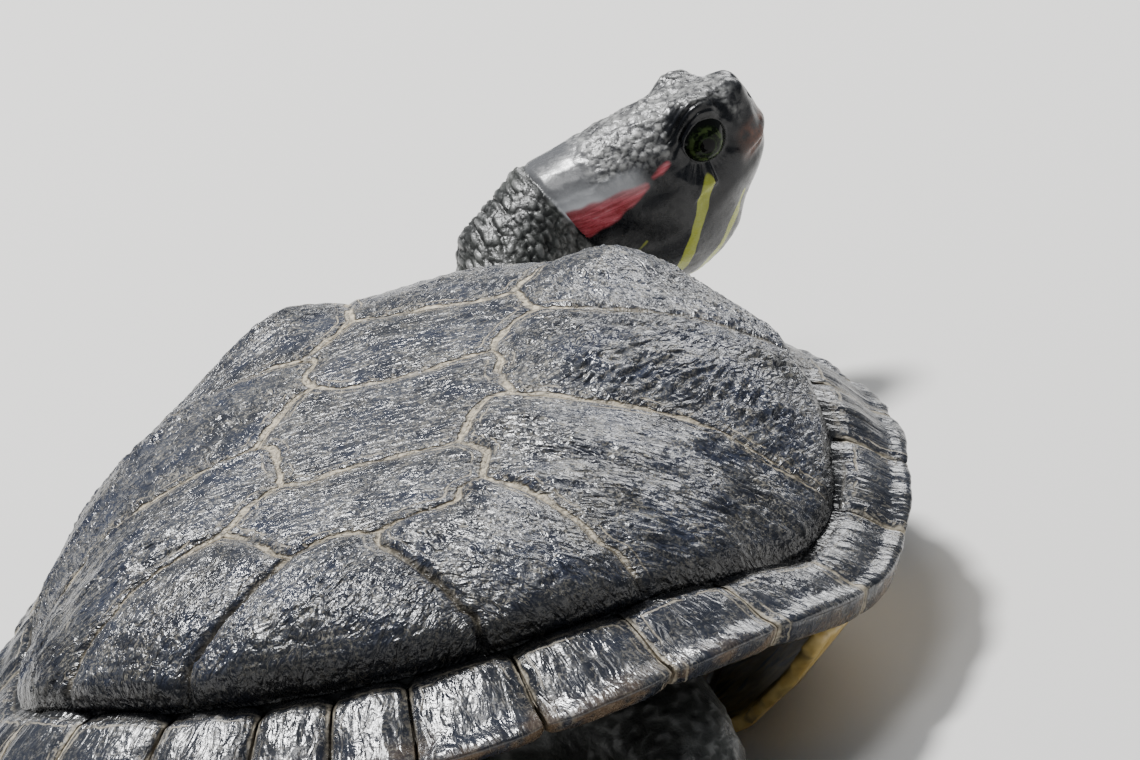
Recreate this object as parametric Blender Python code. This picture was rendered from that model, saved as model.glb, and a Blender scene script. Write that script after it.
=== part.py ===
"""Red-eared slider turtle, life size, resting on its plastron with the head raised and turned.

Frame: metres, +X is the turtle's right, +Y is forward, +Z is up, and the floor is z = 0.
The origin lies on the floor, midway along the carapace.
"""
import math

import bmesh
import bpy
from mathutils import Matrix, Vector

MM = 0.001
GAP = 0.3 * MM                   # clearance left between touching solids

# Carapace in plan: two half ellipses of order RIM_ORDER on one centre
DOME_CENTRE_Y = -6.3 * MM
RIM_HALF_WIDTH = 88.5 * MM
RIM_REAR = 98.7 * MM
RIM_FRONT = 111.3 * MM
RIM_ORDER = 2.1
FRONT_ORDER = 1.95                # the front half is a little more pointed
RING_SIDE, RING_FRONT, RING_REAR = 0.885, 0.838, 0.791   # costal edge as a share of the rim

# Carapace in height
RING_HEIGHT = 44.8 * MM          # costal edge at front and rear
FLANK_DROP = 13.4 * MM           # how much lower that edge runs along the flanks
FLANK_ANGLE = math.radians(-7.9)
FLANK_SPREAD = math.radians(26.8)
CROWN_HEIGHT = 64.4 * MM
CROWN_RISE = 0.0255              # the crown climbs this much for each metre forward
DOME_POWER = (2.97, 5.2, 5.05)   # side, front, rear
DOME_ROUND = (1.03, 0.56, 0.6)
RIM_DROP_SIDE, RIM_DROP_FRONT, RIM_DROP_REAR = 7.5 * MM, 5.0 * MM, 8.5 * MM
RIM_DROOP = 9.0 * MM             # extra drop of the rim beside the neck, over the front legs
SHOULDER = {"at": (35, 61), "rise": 5.5 * MM, "spread": 13 * MM}   # swelling of each first costal
PLATE_THICKNESS = 3.0 * MM
DOME_SHARES = [0.22, 0.42, 0.6, 0.75, 0.87, 0.955, 1.0]   # rings of the dome, crown to edge
DOME_SEGMENTS = 42
RIM_THICKNESS = 3.6 * MM
RIM_SEGMENTS = 48

# Seams of the right half in plan, (x, y) in mm; the left half is the mirror image
VERTEBRAL_FRONT = (24, 83)
WAIST_12, TIP_2, WAIST_23 = (16, 48.6), (23, 35.3), (17.3, 18)
TIP_3, WAIST_34, TIP_4, WAIST_45 = (24.5, -2.3), (16.8, -22), (24.5, -40), (8.2, -55.5)
SEAM_C1_C2 = [TIP_2, (36, 33.5), (50, 34), (64, 35.5), (74, 37), (110, 52)]
SEAM_C2_C3 = [TIP_3, (40, -5), (57, -4.5), (71, -7), (110, -10)]
SEAM_C3_C4 = [TIP_4, (38, -49.5), (47.5, -56.5), (54, -61), (85, -95)]
SEAM_C4_V5 = [WAIST_45, (12, -61.5), (18.5, -68), (25, -75), (28.5, -80), (40, -120)]
SEAM_V1_C1 = [WAIST_12, VERTEBRAL_FRONT, (37, 125)]
# Plan angles of the seams between marginals, from the tail forward, 90 degrees being straight ahead
MARGINAL_SEAMS = [-90, -80, -66, -50.5, -35, -17, -0.5, 15, 30, 44, 58, 72, 86.4]

# Plastron and bridges
PLASTRON_THICKNESS = 5.0 * MM
PLASTRON_LENGTH, PLASTRON_HALF_WIDTH = 184 * MM, 47 * MM
PLASTRON_ORDER = 2.6
BRIDGE_HALF_LENGTH = 40 * MM

# Head, in its own axes: +X right, +Y along the snout, +Z up, origin midway between the eyes
HEAD_ORIGIN = Vector((30.3, 147.3, 55.8)) * MM
HEAD_TURN, HEAD_PITCH, HEAD_ROLL = math.radians(-66), math.radians(4.5), math.radians(7.2)
EYE_RADIUS = 4.9 * MM
EYE_OFFSET = 6.2 * MM
# (along, top, bottom, half width) of the head, from the nape to the beak, in mm
HEAD_SECTIONS = [(-32, 3, -21.5, 11.2), (-25, 3.6, -26, 12.2), (-17, 4.6, -29.5, 12.6),
                 (-9, 5.4, -30, 12.2), (-3, 6.2, -28, 11.2), (2.5, 6.4, -24.6, 10.2),
                 (6.8, 6, -19, 8.6), (10, 4.6, -14.4, 6.8), (12.3, 1.6, -10.8, 4.8), (13.3, -2.4, -8, 2.4)]
HEAD_SEGMENTS = 20
MOUTH_FRONT, MOUTH_BACK = (13.6, -7.2), (-5, -10.4)
NECK_PATH = [(0, 66, 22), (0, 84, 21.5), (-1, 99, 22.5), (-3, 111.5, 26.5), (-4.5, 121, 33.5),
             (-4.5, 128.5, 39.5)]
NECK_HEADINGS = [0, 0, -2, 6, 20, 40]
NECK_RADII = [12, 12, 12, 12, 12.2, 12.4]

# Limbs of the right side: joint centres in mm with the limb's radius there
FRONT_LIMB = [((24, 58, 22), 11), ((36, 66, 20), 10.5), ((46, 75, 16.5), 9.6), ((50, 84, 12), 8),
              ((50.5, 91, 8), 6.8)]
HIND_LIMB = [((22, -48, 20), 14), ((37, -54, 20), 14), ((50, -62, 17.5), 12.5), ((56, -73, 12.5), 10),
             ((57, -81, 8.5), 7.8)]
FRONT_FOOT = {"heel": (50.5, 90), "heading": -4, "length": 17, "width": 19, "height": 9,
              "claws": 5, "claw": 8.5}
HIND_FOOT = {"heel": (57, -80), "heading": -158, "length": 30, "width": 26, "height": 9.5,
             "claws": 4, "claw": 7}
TAIL_PATH = [((0, -66, 17), 9), ((0, -82, 14), 7.5), ((2, -96, 9.5), 5.6), ((6, -108, 6), 4),
             ((12, -119, 3.2), 2.6), ((18, -126, 2.2), 1.4)]


# Shape of the carapace

def blend(angle, side, front, rear):
    """Value at a plan angle, from the values at the flank, the front and the rear."""
    share = math.sin(angle) ** 2
    return side * (1 - share) + (front if math.sin(angle) > 0 else rear) * share


def rim_radius(angle):
    across = abs(math.cos(angle)) / RIM_HALF_WIDTH
    front = math.sin(angle) > 0
    along = abs(math.sin(angle)) / (RIM_FRONT if front else RIM_REAR)
    order = FRONT_ORDER if front else RIM_ORDER
    return (across ** order + along ** order) ** (-1 / order)


def ring_radius(angle):
    return rim_radius(angle) * blend(angle, RING_SIDE, RING_FRONT, RING_REAR)


def ring_height(angle):
    from_side = math.asin(max(-1.0, min(1.0, math.sin(angle))))
    return RING_HEIGHT - FLANK_DROP * math.exp(-((from_side - FLANK_ANGLE) / FLANK_SPREAD) ** 2)


def dome_point(angle, share, inset=0.0):
    """Point of the dome at a share of the way to its edge, on a dome smaller by inset all round."""
    reach = (ring_radius(angle) - inset) * share
    x, y = reach * math.cos(angle), DOME_CENTRE_Y + reach * math.sin(angle)
    edge = ring_height(angle) - 0.6 * inset
    crown = CROWN_HEIGHT + CROWN_RISE * y - inset
    fall = (1 - share ** blend(angle, *DOME_POWER)) ** blend(angle, *DOME_ROUND)
    away = math.hypot(abs(x) - SHOULDER["at"][0] * MM, y - SHOULDER["at"][1] * MM) / SHOULDER["spread"]
    swell = SHOULDER["rise"] * math.exp(-away * away) * (1 - share ** 12)
    return Vector((x, y, edge + (crown - edge) * fall + swell))


def rim_point(angle, out, height):
    """Point at a share of the way from the costal edge out to the rim, at a height."""
    reach = ring_radius(angle) * (1 - out) + rim_radius(angle) * out
    return Vector((reach * math.cos(angle), DOME_CENTRE_Y + reach * math.sin(angle), height))


# Building blocks

def new_object(name, mesh, material, collection):
    obj = bpy.data.objects.new(name, mesh)
    collection.objects.link(obj)
    if material:
        mesh.materials.append(material)
    return obj


def from_bmesh(name, bm, material, collection):
    bmesh.ops.recalc_face_normals(bm, faces=bm.faces)
    if bm.calc_volume(signed=True) < 0:
        bmesh.ops.reverse_faces(bm, faces=bm.faces)
    mesh = bpy.data.meshes.new(name)
    bm.to_mesh(mesh)
    bm.free()
    return new_object(name, mesh, material, collection)


def shaped_sphere(rings, segments, place):
    """UV sphere whose rings, counted from one pole to the other, are moved by place(ring, angle)."""
    bm = bmesh.new()
    bmesh.ops.create_uvsphere(bm, u_segments=segments, v_segments=rings + 1, radius=1)
    for vert in bm.verts:
        latitude = math.acos(max(-1.0, min(1.0, vert.co.z)))
        vert.co = place(round(latitude / math.pi * (rings + 1)), math.atan2(vert.co.y, vert.co.x))
    return bm


def swept_body(stations, segments, section):
    """Closed body whose cross-sections stand at the stations; section(station, angle) gives a point."""
    last = len(stations) - 1

    def place(ring, angle):
        if 0 < ring <= last + 1:
            return section(stations[ring - 1], angle)
        end = stations[0] if ring == 0 else stations[last]
        return (section(end, math.pi / 2) + section(end, -math.pi / 2)) / 2

    return shaped_sphere(len(stations), segments, place)


def outline_prism(name, outline, bottom, top, collection):
    """Upright prism on a plan outline, from a filled flat curve."""
    curve = bpy.data.curves.new(name, "CURVE")
    curve.dimensions = "2D"
    curve.fill_mode = "BOTH"
    curve.extrude = (top - bottom) / 2
    spline = curve.splines.new("POLY")
    spline.points.add(len(outline) - 1)
    spline.use_cyclic_u = True
    for point, (x, y) in zip(spline.points, outline):
        point.co = (x, y, 0, 1)
    obj = bpy.data.objects.new(name, curve)
    obj.location.z = (top + bottom) / 2
    collection.objects.link(obj)
    bpy.context.view_layer.update()
    mesh = bpy.data.meshes.new_from_object(obj.evaluated_get(bpy.context.evaluated_depsgraph_get()))
    matrix = obj.matrix_world.copy()
    bpy.data.objects.remove(obj)
    bm = bmesh.new()
    bm.from_mesh(mesh)
    bmesh.ops.remove_doubles(bm, verts=bm.verts, dist=0.01 * MM)
    bpy.data.meshes.remove(mesh)
    prism = from_bmesh(name, bm, None, collection)
    prism.matrix_world = matrix
    return prism


def as_cutter(obj):
    obj.hide_render = True
    obj.display_type = "WIRE"
    return obj


def cut(obj, operation, *cutters):
    for cutter in cutters:
        modifier = obj.modifiers.new(operation.lower() + "_" + cutter.name, "BOOLEAN")
        modifier.operation = operation
        modifier.solver = "EXACT"
        modifier.object = cutter


def shade_round(obj, angle=40):
    obj.data.shade_smooth()
    obj.data.set_sharp_from_angle(angle=math.radians(angle))


def principled(name, colour, roughness, metallic=0.0):
    material = bpy.data.materials.new(name)
    material.use_nodes = True
    shader = material.node_tree.nodes["Principled BSDF"]
    shader.inputs["Base Color"].default_value = (*colour, 1)
    shader.inputs["Roughness"].default_value = roughness
    shader.inputs["Metallic"].default_value = metallic
    return material


# Shell plates

def mirrored(points):
    return [(-x, y) for x, y in points]


def inset_outline(points, distance):
    """Outline moved inwards by a distance, corners mitred."""
    area = sum(a[0] * b[1] - b[0] * a[1] for a, b in zip(points, points[1:] + points[:1]))
    turn = 1 if area > 0 else -1
    moved = []
    for before, here, after in zip(points[-1:] + points[:-1], points, points[1:] + points[:1]):
        normals = []
        for start, end in ((before, here), (here, after)):
            edge = Vector((end[0] - start[0], end[1] - start[1])).normalized()
            normals.append(Vector((-edge.y, edge.x)) * turn)
        mitre = (normals[0] + normals[1]).normalized()
        moved.append(tuple(Vector(here) + mitre * distance / max(0.3, mitre.dot(normals[0]))))
    return moved


def plate_outlines():
    """Plan outline of each vertebral and costal plate, in mm."""
    fore = [SEAM_V1_C1[2], VERTEBRAL_FRONT, WAIST_12]
    outlines = {
        "vertebral_1": fore + mirrored(fore)[::-1],
        "vertebral_2": [WAIST_12, TIP_2, WAIST_23] + mirrored([WAIST_12, TIP_2, WAIST_23])[::-1],
        "vertebral_3": [WAIST_23, TIP_3, WAIST_34] + mirrored([WAIST_23, TIP_3, WAIST_34])[::-1],
        "vertebral_4": [WAIST_34, TIP_4, WAIST_45] + mirrored([WAIST_34, TIP_4, WAIST_45])[::-1],
        "vertebral_5": SEAM_C4_V5 + mirrored(SEAM_C4_V5)[::-1],
    }
    costals = [
        SEAM_V1_C1[::-1] + SEAM_C1_C2 + [(95, 100)],
        SEAM_C1_C2[::-1] + [WAIST_23] + SEAM_C2_C3,
        SEAM_C2_C3[::-1] + [WAIST_34] + SEAM_C3_C4 + [(110, -60)],
        SEAM_C3_C4[::-1] + SEAM_C4_V5 + [(70, -120)],
    ]
    for number, outline in enumerate(costals, 1):
        outlines[f"costal_right_{number}"] = outline
        outlines[f"costal_left_{number}"] = mirrored(outline)
    return outlines


def dome_lid(name, collection):
    """Closed lid: the dome outside, the same dome one plate thickness smaller inside."""
    count = len(DOME_SHARES)

    def place(ring, angle):
        if ring <= count:
            return dome_point(angle, ([0.0] + DOME_SHARES)[ring])
        return dome_point(angle, (DOME_SHARES[::-1] + [0.0])[ring - count - 1], PLATE_THICKNESS)

    return from_bmesh(name, shaped_sphere(2 * count, DOME_SEGMENTS, place), None, collection)


def dome_plates(material, parts, cutters):
    for name, outline in plate_outlines().items():
        metres = [(x * MM, y * MM) for x, y in outline]
        prism = outline_prism("outline_" + name, inset_outline(metres, GAP / 2), 0.01, 0.09, cutters)
        plate = dome_lid(name, parts)
        plate.data.materials.append(material)
        cut(plate, "INTERSECT", as_cutter(prism))
        shade_round(plate)


def rim_section(angle):
    """Cross-section of the marginals at a plan angle, from the top inner corner round the rim."""
    top = ring_height(angle)
    droop = RIM_DROOP * math.sin(2 * angle) ** 2 if math.sin(angle) > 0 else 0.0
    edge = top - blend(angle, RIM_DROP_SIDE, RIM_DROP_FRONT, RIM_DROP_REAR) - droop
    clear = GAP / (rim_radius(angle) - ring_radius(angle))
    tuck = blend(angle, 3.0 * MM, 0.0, 0.5 * MM)
    return [rim_point(angle, clear, top - 0.2 * MM), rim_point(angle, 0.35, top - 0.42 * (top - edge)),
            rim_point(angle, 0.72, edge + 0.16 * (top - edge)), rim_point(angle, 0.97, edge),
            rim_point(angle, 0.99, edge - 0.4 * RIM_THICKNESS),
            rim_point(angle, 0.72, edge - RIM_THICKNESS - 0.6 * tuck),
            rim_point(angle, 0.35, top - RIM_THICKNESS - 0.55 * (top - edge) - tuck),
            rim_point(angle, clear, top - RIM_THICKNESS - 1.2 * MM)]


def rim_ring(name, material, collection):
    """Closed ring of all marginals: a torus whose small circles become the rim's cross-section."""
    corners = 8
    bpy.ops.mesh.primitive_torus_add(major_segments=RIM_SEGMENTS, minor_segments=corners,
                                     major_radius=1, minor_radius=0.25)
    torus = bpy.context.object
    mesh = torus.data
    for vert in mesh.vertices:
        angle = math.atan2(vert.co.y, vert.co.x)
        minor = math.atan2(vert.co.z, math.hypot(vert.co.x, vert.co.y) - 1)
        corner = round((math.pi - minor) / math.tau * corners) % corners
        vert.co = rim_section(angle)[corner]
    bpy.data.objects.remove(torus)
    bm = bmesh.new()
    bm.from_mesh(mesh)
    return from_bmesh(name, bm, material, collection)


def marginal_wedge(name, start, end, cutters):
    """Upright wedge between two plan angles in degrees, half a gap clear of both."""
    centre = Vector((0, DOME_CENTRE_Y))
    inner, outer = 0.05, 0.15
    corners = []
    for reach, degrees in ((inner, start), (outer, start), (outer, end), (inner, end)):
        angle = math.radians(degrees)
        corners.append(tuple(centre + reach * Vector((math.cos(angle), math.sin(angle)))))
    return as_cutter(outline_prism(name, inset_outline(corners, GAP / 2), 0.005, 0.06, cutters))


def marginal_plates(material, parts, cutters):
    spans = {"nuchal": (MARGINAL_SEAMS[-1], 180 - MARGINAL_SEAMS[-1])}
    for index, (start, end) in enumerate(zip(MARGINAL_SEAMS, MARGINAL_SEAMS[1:])):
        number = 12 - index
        spans[f"marginal_right_{number}"] = (start, end)
        spans[f"marginal_left_{number}"] = (180 - end, 180 - start)
    for name, (start, end) in spans.items():
        plate = rim_ring(name, material, parts)
        cut(plate, "INTERSECT", marginal_wedge("wedge_" + name, start, end, cutters))
        shade_round(plate, 50)


# Underside and trunk

def plastron_radius(angle):
    """Plan radius of the plastron, notched behind for the tail."""
    across = abs(math.cos(angle)) / PLASTRON_HALF_WIDTH
    along = abs(math.sin(angle)) / (PLASTRON_LENGTH / 2)
    radius = (across ** PLASTRON_ORDER + along ** PLASTRON_ORDER) ** (-1 / PLASTRON_ORDER)
    notch = 4 * MM * math.exp(-(math.cos(angle) / 0.1) ** 2) if math.sin(angle) < 0 else 0.0
    return radius - notch


def plastron_half_width(y):
    along = abs(y) / (PLASTRON_LENGTH / 2)
    return PLASTRON_HALF_WIDTH * (1 - along ** PLASTRON_ORDER) ** (1 / PLASTRON_ORDER)


def plastron(material, parts):
    levels = [(0.93, 1.0), (1.0, 0.6), (0.985, 0.2), (0.955, 0.0)]

    def place(ring, angle):
        if ring in (0, len(levels) + 1):
            return Vector((3 * MM, 5 * MM, PLASTRON_THICKNESS if ring == 0 else 0))
        share, level = levels[ring - 1]
        reach = plastron_radius(angle) * share
        return Vector((reach * math.cos(angle), reach * math.sin(angle), PLASTRON_THICKNESS * level))

    obj = from_bmesh("plastron", shaped_sphere(len(levels), 40, place), material, parts)
    shade_round(obj)


def bridge(side, material, parts):
    """Curved wall from the plastron's edge up to the underside of the marginals, between the legs."""
    steps = [-1, -0.8, -0.5, -0.2, 0.2, 0.5, 0.8, 1]
    shares = [0, 0.35, 0.7, 1]
    wall = Vector((-1.6, 0, 2.6)) * MM
    wall_reach = GAP - wall.x

    def outer(step, share):
        y = step * BRIDGE_HALF_LENGTH * (1 - 0.16 * (1 - share))
        low_x = plastron_half_width(y) + wall_reach
        high = rim_section(math.atan2(y - DOME_CENTRE_Y, RIM_HALF_WIDTH))[6]
        low_z, high_z = 1.2 * MM, high.z - wall.z - GAP - 1.2 * MM * abs(step) ** 3
        return Vector((low_x + (high.x - low_x) * share, y, low_z + (high_z - low_z) * share ** 1.7))

    def section(step, angle):
        index = round((angle % math.tau) / math.tau * 8) % 8
        point = outer(step, shares[index]) if index < 4 else outer(step, shares[7 - index]) + wall
        return Vector((side * point.x, point.y, point.z))

    obj = from_bmesh("bridge_" + side_name(side), swept_body(steps, 8, section), material, parts)
    shade_round(obj)


def pocket(angle):
    """Share of the ring radius left to the trunk at mid height: full at the bridges, less at the legs."""
    flank = math.exp(-(math.sin(angle) / 0.42) ** 4)
    return 0.6 + 0.3 * flank + 0.1 * math.sin(angle) ** 8


def trunk_shape(grow):
    """Body inside the shell, grown all round by a distance."""
    inset = PLATE_THICKNESS + 2.5 * GAP - grow
    floor = PLASTRON_THICKNESS + GAP - grow
    ceiling = 23 * MM - grow

    def place(ring, angle):
        if ring <= len(DOME_SHARES):
            return dome_point(angle, ([0.0] + DOME_SHARES)[ring], inset)
        top = dome_point(angle, 1.0, inset)
        waist = ring_radius(angle) * pocket(angle)
        sill = min(waist, plastron_radius(angle) * 0.9)
        flank = ring_radius(angle)
        levels = [(flank * 0.955 + grow, top.z - 3.0 * MM - grow),
                  ((flank + waist) / 2 + grow, (ceiling + top.z - 3.0 * MM) / 2),
                  (waist + grow, ceiling - 3.0 * MM), (sill + grow, floor + 3.0 * MM),
                  (sill * 0.92 + grow, floor), (0, floor)]
        reach, height = levels[ring - len(DOME_SHARES) - 1]
        return Vector((reach * math.cos(angle), DOME_CENTRE_Y + reach * math.sin(angle), height))

    return shaped_sphere(len(DOME_SHARES) + 5, DOME_SEGMENTS, place)


# Limbs and tail

def frame_along(direction, up=Vector((0, 0, 1))):
    """Right and upward unit vectors across a direction."""
    forward = direction.normalized()
    right = forward.cross(up).normalized()
    return right, right.cross(forward).normalized()


def tube_stations(path):
    """Centre, radius and direction at each joint of a path of (point in mm, radius in mm)."""
    points = [Vector(point) * MM for point, _ in path]
    stations = []
    for index, (_, radius) in enumerate(path):
        ahead = points[min(index + 1, len(points) - 1)] - points[max(index - 1, 0)]
        stations.append((points[index], radius * MM, ahead))
    return stations


def limb_section(station, angle):
    centre, radius, ahead = station
    right, up = frame_along(ahead)
    point = centre + radius * (math.cos(angle) * right + math.sin(angle) * up)
    point.z = max(point.z, 0.0)
    return point


def flipped(path, side):
    return [((side * x, y, z), radius) for (x, y, z), radius in path]


def side_name(side):
    return "right" if side > 0 else "left"


def limb(name, path, side, material, parts, *cutters):
    bm = swept_body(tube_stations(flipped(path, side)), 16, limb_section)
    obj = from_bmesh(f"{name}_{side_name(side)}", bm, material, parts)
    cut(obj, "DIFFERENCE", *cutters)
    shade_round(obj)
    return obj


def foot_matrix(spec, side):
    heel = Vector((side * spec["heel"][0], spec["heel"][1], 0)) * MM
    return Matrix.Translation(heel) @ Matrix.Rotation(math.radians(side * spec["heading"]), 4, "Z")


def foot_body(spec):
    """Webbed foot in its own axes, +Y to the toes, with a flat sole and a scalloped toe line."""
    length, width, height = (spec[key] * MM for key in ("length", "width", "height"))
    toes = spec["claws"]
    shares = [-0.12, 0.02, 0.2, 0.42, 0.64, 0.84, 0.96]

    def section(share, angle):
        spread = 0.62 + 0.38 * math.sin(math.pi * min(1.0, max(0.0, share) * 0.75 + 0.1))
        across = math.cos(angle) * width / 2 * spread * (1 - 0.25 * max(0.0, share - 0.7) / 0.3)
        lift = height * (1 - 0.62 * max(0.0, share))
        rise = max(0.0, math.sin(angle)) ** 0.8 * lift
        scallop = 0.07 * length * max(0.0, share) ** 3 * math.cos(math.tau * (toes - 1) * across / width)
        bow = -0.9 * across * across / width * max(0.0, share)
        return Vector((across, share * length + scallop + bow, rise))

    return swept_body(shares, 16, section)


def claw_cones(spec, side):
    """Claws as tapered cones at the toe tips, resting just clear of the floor."""
    cones = []
    width, length, claw = spec["width"] * MM, spec["length"] * MM, spec["claw"] * MM
    for index in range(spec["claws"]):
        share = (index / (spec["claws"] - 1) - 0.5) * 0.8
        fan = Matrix.Rotation(-share * math.radians(48), 4, "Z")
        reach = length * (0.86 - 0.5 * share * share)
        middle = Vector((share * width, reach, 0)) + fan @ Vector((0, claw * 0.35, 1.7 * MM))
        place = Matrix.Translation(middle) @ fan @ Matrix.Rotation(math.radians(-97), 4, "X")
        bpy.ops.mesh.primitive_cone_add(vertices=6, radius1=1.5 * MM, radius2=0.35 * MM, depth=claw)
        cone = bpy.context.object
        cone.name = f"claw_{spec['heading']}_{side_name(side)}_{index + 1}"
        cone.matrix_world = foot_matrix(spec, side) @ place
        cones.append(cone)
    return cones


def foot(name, spec, side, material, parts, cutters, leg):
    bm = foot_body(spec)
    bm.transform(foot_matrix(spec, side))
    obj = from_bmesh(f"{name}_{side_name(side)}", bm, material, parts)
    cones = claw_cones(spec, side)
    for cone in cones:
        bpy.context.collection.objects.unlink(cone)
        cutters.objects.link(as_cutter(cone))
    cut(obj, "UNION", *cones)
    shade_round(obj)
    sleeve = swept_body(grown_stations(leg, side), 16, limb_section)
    cut(obj, "DIFFERENCE", as_cutter(from_bmesh(f"ankle_{name}_{side_name(side)}", sleeve, None, cutters)))


def grown_stations(path, side):
    """Stations of a limb with its radii and its free end larger by the gap."""
    stations = tube_stations(flipped(path, side))
    centre, radius, ahead = stations[-1]
    stations[-1] = (centre + ahead.normalized() * GAP, radius, ahead)
    return [(point, size + GAP, direction) for point, size, direction in stations]


# Head and neck

def head_matrix():
    turn = Matrix.Rotation(HEAD_TURN, 4, "Z")
    pitch = Matrix.Rotation(HEAD_PITCH, 4, "X")
    roll = Matrix.Rotation(HEAD_ROLL, 4, "Y")
    return Matrix.Translation(HEAD_ORIGIN) @ turn @ pitch @ roll


def head_section(station, angle):
    """Egg-shaped section in head axes: broad across the cheeks, narrower at the throat."""
    along, top, bottom, half_width = station
    middle = top - 0.42 * (top - bottom)
    lift = math.sin(angle)
    height = (top - middle if lift > 0 else middle - bottom) * abs(lift) ** 0.9
    narrow = 1 - 0.25 * max(0.0, -lift) ** 2
    across = half_width * math.copysign(abs(math.cos(angle)) ** 0.85, math.cos(angle)) * narrow
    return Vector((across, along, middle + math.copysign(height, lift))) * MM


def head_solid(name, material, collection):
    bm = swept_body(HEAD_SECTIONS, HEAD_SEGMENTS, head_section)
    obj = from_bmesh(name, bm, material, collection)
    obj.matrix_world = head_matrix()
    return obj


def jaw_block(name, grow, cutters):
    """Wedge below the mouth line and ahead of the jaw's corner, grown by a distance."""
    front, back = Vector(MOUTH_FRONT) * MM, Vector(MOUTH_BACK) * MM
    slope = (front - back).normalized()
    normal = Vector((-slope.y, slope.x))
    top_back = back + normal * grow - slope * grow
    top_front = front + slope * 0.02 + normal * grow
    low = -0.05
    corners = [top_back, top_front, Vector((top_front.x, low)), Vector((top_back.x - 0.006, low))]
    outline = [(point.x, point.y) for point in corners]
    block = outline_prism(name, outline, -0.03, 0.03, cutters)
    stand_up = Matrix(((0, 0, 1, 0), (1, 0, 0, 0), (0, 1, 0, 0), (0, 0, 0, 1)))
    block.matrix_world = head_matrix() @ stand_up
    return as_cutter(block)


def eyeball(name, radius, side, material, collection):
    bpy.ops.mesh.primitive_uv_sphere_add(segments=16, ring_count=8, radius=radius)
    eye = bpy.context.object
    eye.name = name
    bpy.context.collection.objects.unlink(eye)
    collection.objects.link(eye)
    eye.matrix_world = head_matrix() @ Matrix.Translation((side * EYE_OFFSET, 0, 0))
    if material:
        eye.data.materials.append(material)
        shade_round(eye)
    return eye


def head_and_jaw(skin, horn, eye_finish, parts, cutters):
    sockets = [as_cutter(eyeball(f"socket_{side_name(side)}", EYE_RADIUS + GAP, side, None, cutters))
               for side in (1, -1)]
    head = head_solid("head", skin, parts)
    cut(head, "DIFFERENCE", jaw_block("mouth_cut", GAP, cutters), *sockets)
    shade_round(head)
    jaw = head_solid("lower_jaw", horn, parts)
    cut(jaw, "INTERSECT", jaw_block("jaw_shape", 0.0, cutters))
    shade_round(jaw)
    for side in (1, -1):
        eyeball(f"eye_{side_name(side)}", EYE_RADIUS, side, eye_finish, parts)


def neck(material, parts, *cutters):
    """Neck from the trunk to the nape; its last section repeats the head's first one."""
    matrix = head_matrix()
    nape = list(HEAD_SECTIONS[0])
    nape[0] -= GAP / MM
    stations = []
    for index, (point, radius) in enumerate(zip(NECK_PATH, NECK_RADII)):
        following = NECK_PATH[min(index + 1, len(NECK_PATH) - 1)]
        ahead = Vector(following) - Vector(NECK_PATH[max(index - 1, 0)])
        heading = math.radians(NECK_HEADINGS[index])
        flat = math.hypot(ahead.x, ahead.y)
        direction = Vector((math.sin(heading) * flat, math.cos(heading) * flat, ahead.z))
        stations.append((Vector(point) * MM, radius * MM, direction))

    def section(station, angle):
        if station == "nape":
            return matrix @ head_section(nape, angle)
        return limb_section(station, angle)

    obj = from_bmesh("neck", swept_body(stations + ["nape"], HEAD_SEGMENTS, section), material, parts)
    cut(obj, "DIFFERENCE", *cutters)
    shade_round(obj)


def main():
    for obj in list(bpy.data.objects):
        bpy.data.objects.remove(obj)
    parts = bpy.data.collections.new("red_eared_slider")
    cutters = bpy.data.collections.new("cutters")
    for collection in (parts, cutters):
        bpy.context.scene.collection.children.link(collection)
    keratin = principled("carapace_keratin", (0.05, 0.055, 0.06), 0.35)
    rim = principled("marginal_keratin", (0.06, 0.058, 0.052), 0.38)
    belly = principled("plastron_keratin", (0.55, 0.42, 0.16), 0.4)
    skin = principled("body_skin", (0.06, 0.065, 0.05), 0.5)
    head_skin = principled("head_skin", (0.03, 0.035, 0.035), 0.35)
    horn = principled("horn", (0.09, 0.055, 0.03), 0.35)
    eye_finish = principled("eye_gloss", (0.02, 0.03, 0.012), 0.05)

    dome_plates(keratin, parts, cutters)
    marginal_plates(rim, parts, cutters)
    plastron(belly, parts)
    for side in (1, -1):
        bridge(side, belly, parts)
    shade_round(from_bmesh("trunk", trunk_shape(0.0), skin, parts))
    trunk_cutter = as_cutter(from_bmesh("trunk_room", trunk_shape(1.5 * GAP), None, cutters))
    for side in (1, -1):
        limb("front_leg", FRONT_LIMB, side, skin, parts, trunk_cutter)
        foot("front_foot", FRONT_FOOT, side, skin, parts, cutters, FRONT_LIMB)
        limb("hind_leg", HIND_LIMB, side, skin, parts, trunk_cutter)
        foot("hind_foot", HIND_FOOT, side, skin, parts, cutters, HIND_LIMB)
    tail = from_bmesh("tail", swept_body(tube_stations(TAIL_PATH), 12, limb_section), skin, parts)
    cut(tail, "DIFFERENCE", trunk_cutter)
    shade_round(tail)
    neck(skin, parts, trunk_cutter)
    head_and_jaw(head_skin, horn, eye_finish, parts, cutters)


main()
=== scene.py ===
import math
import bpy
import numpy as np
from mathutils import Matrix, Vector


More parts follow.
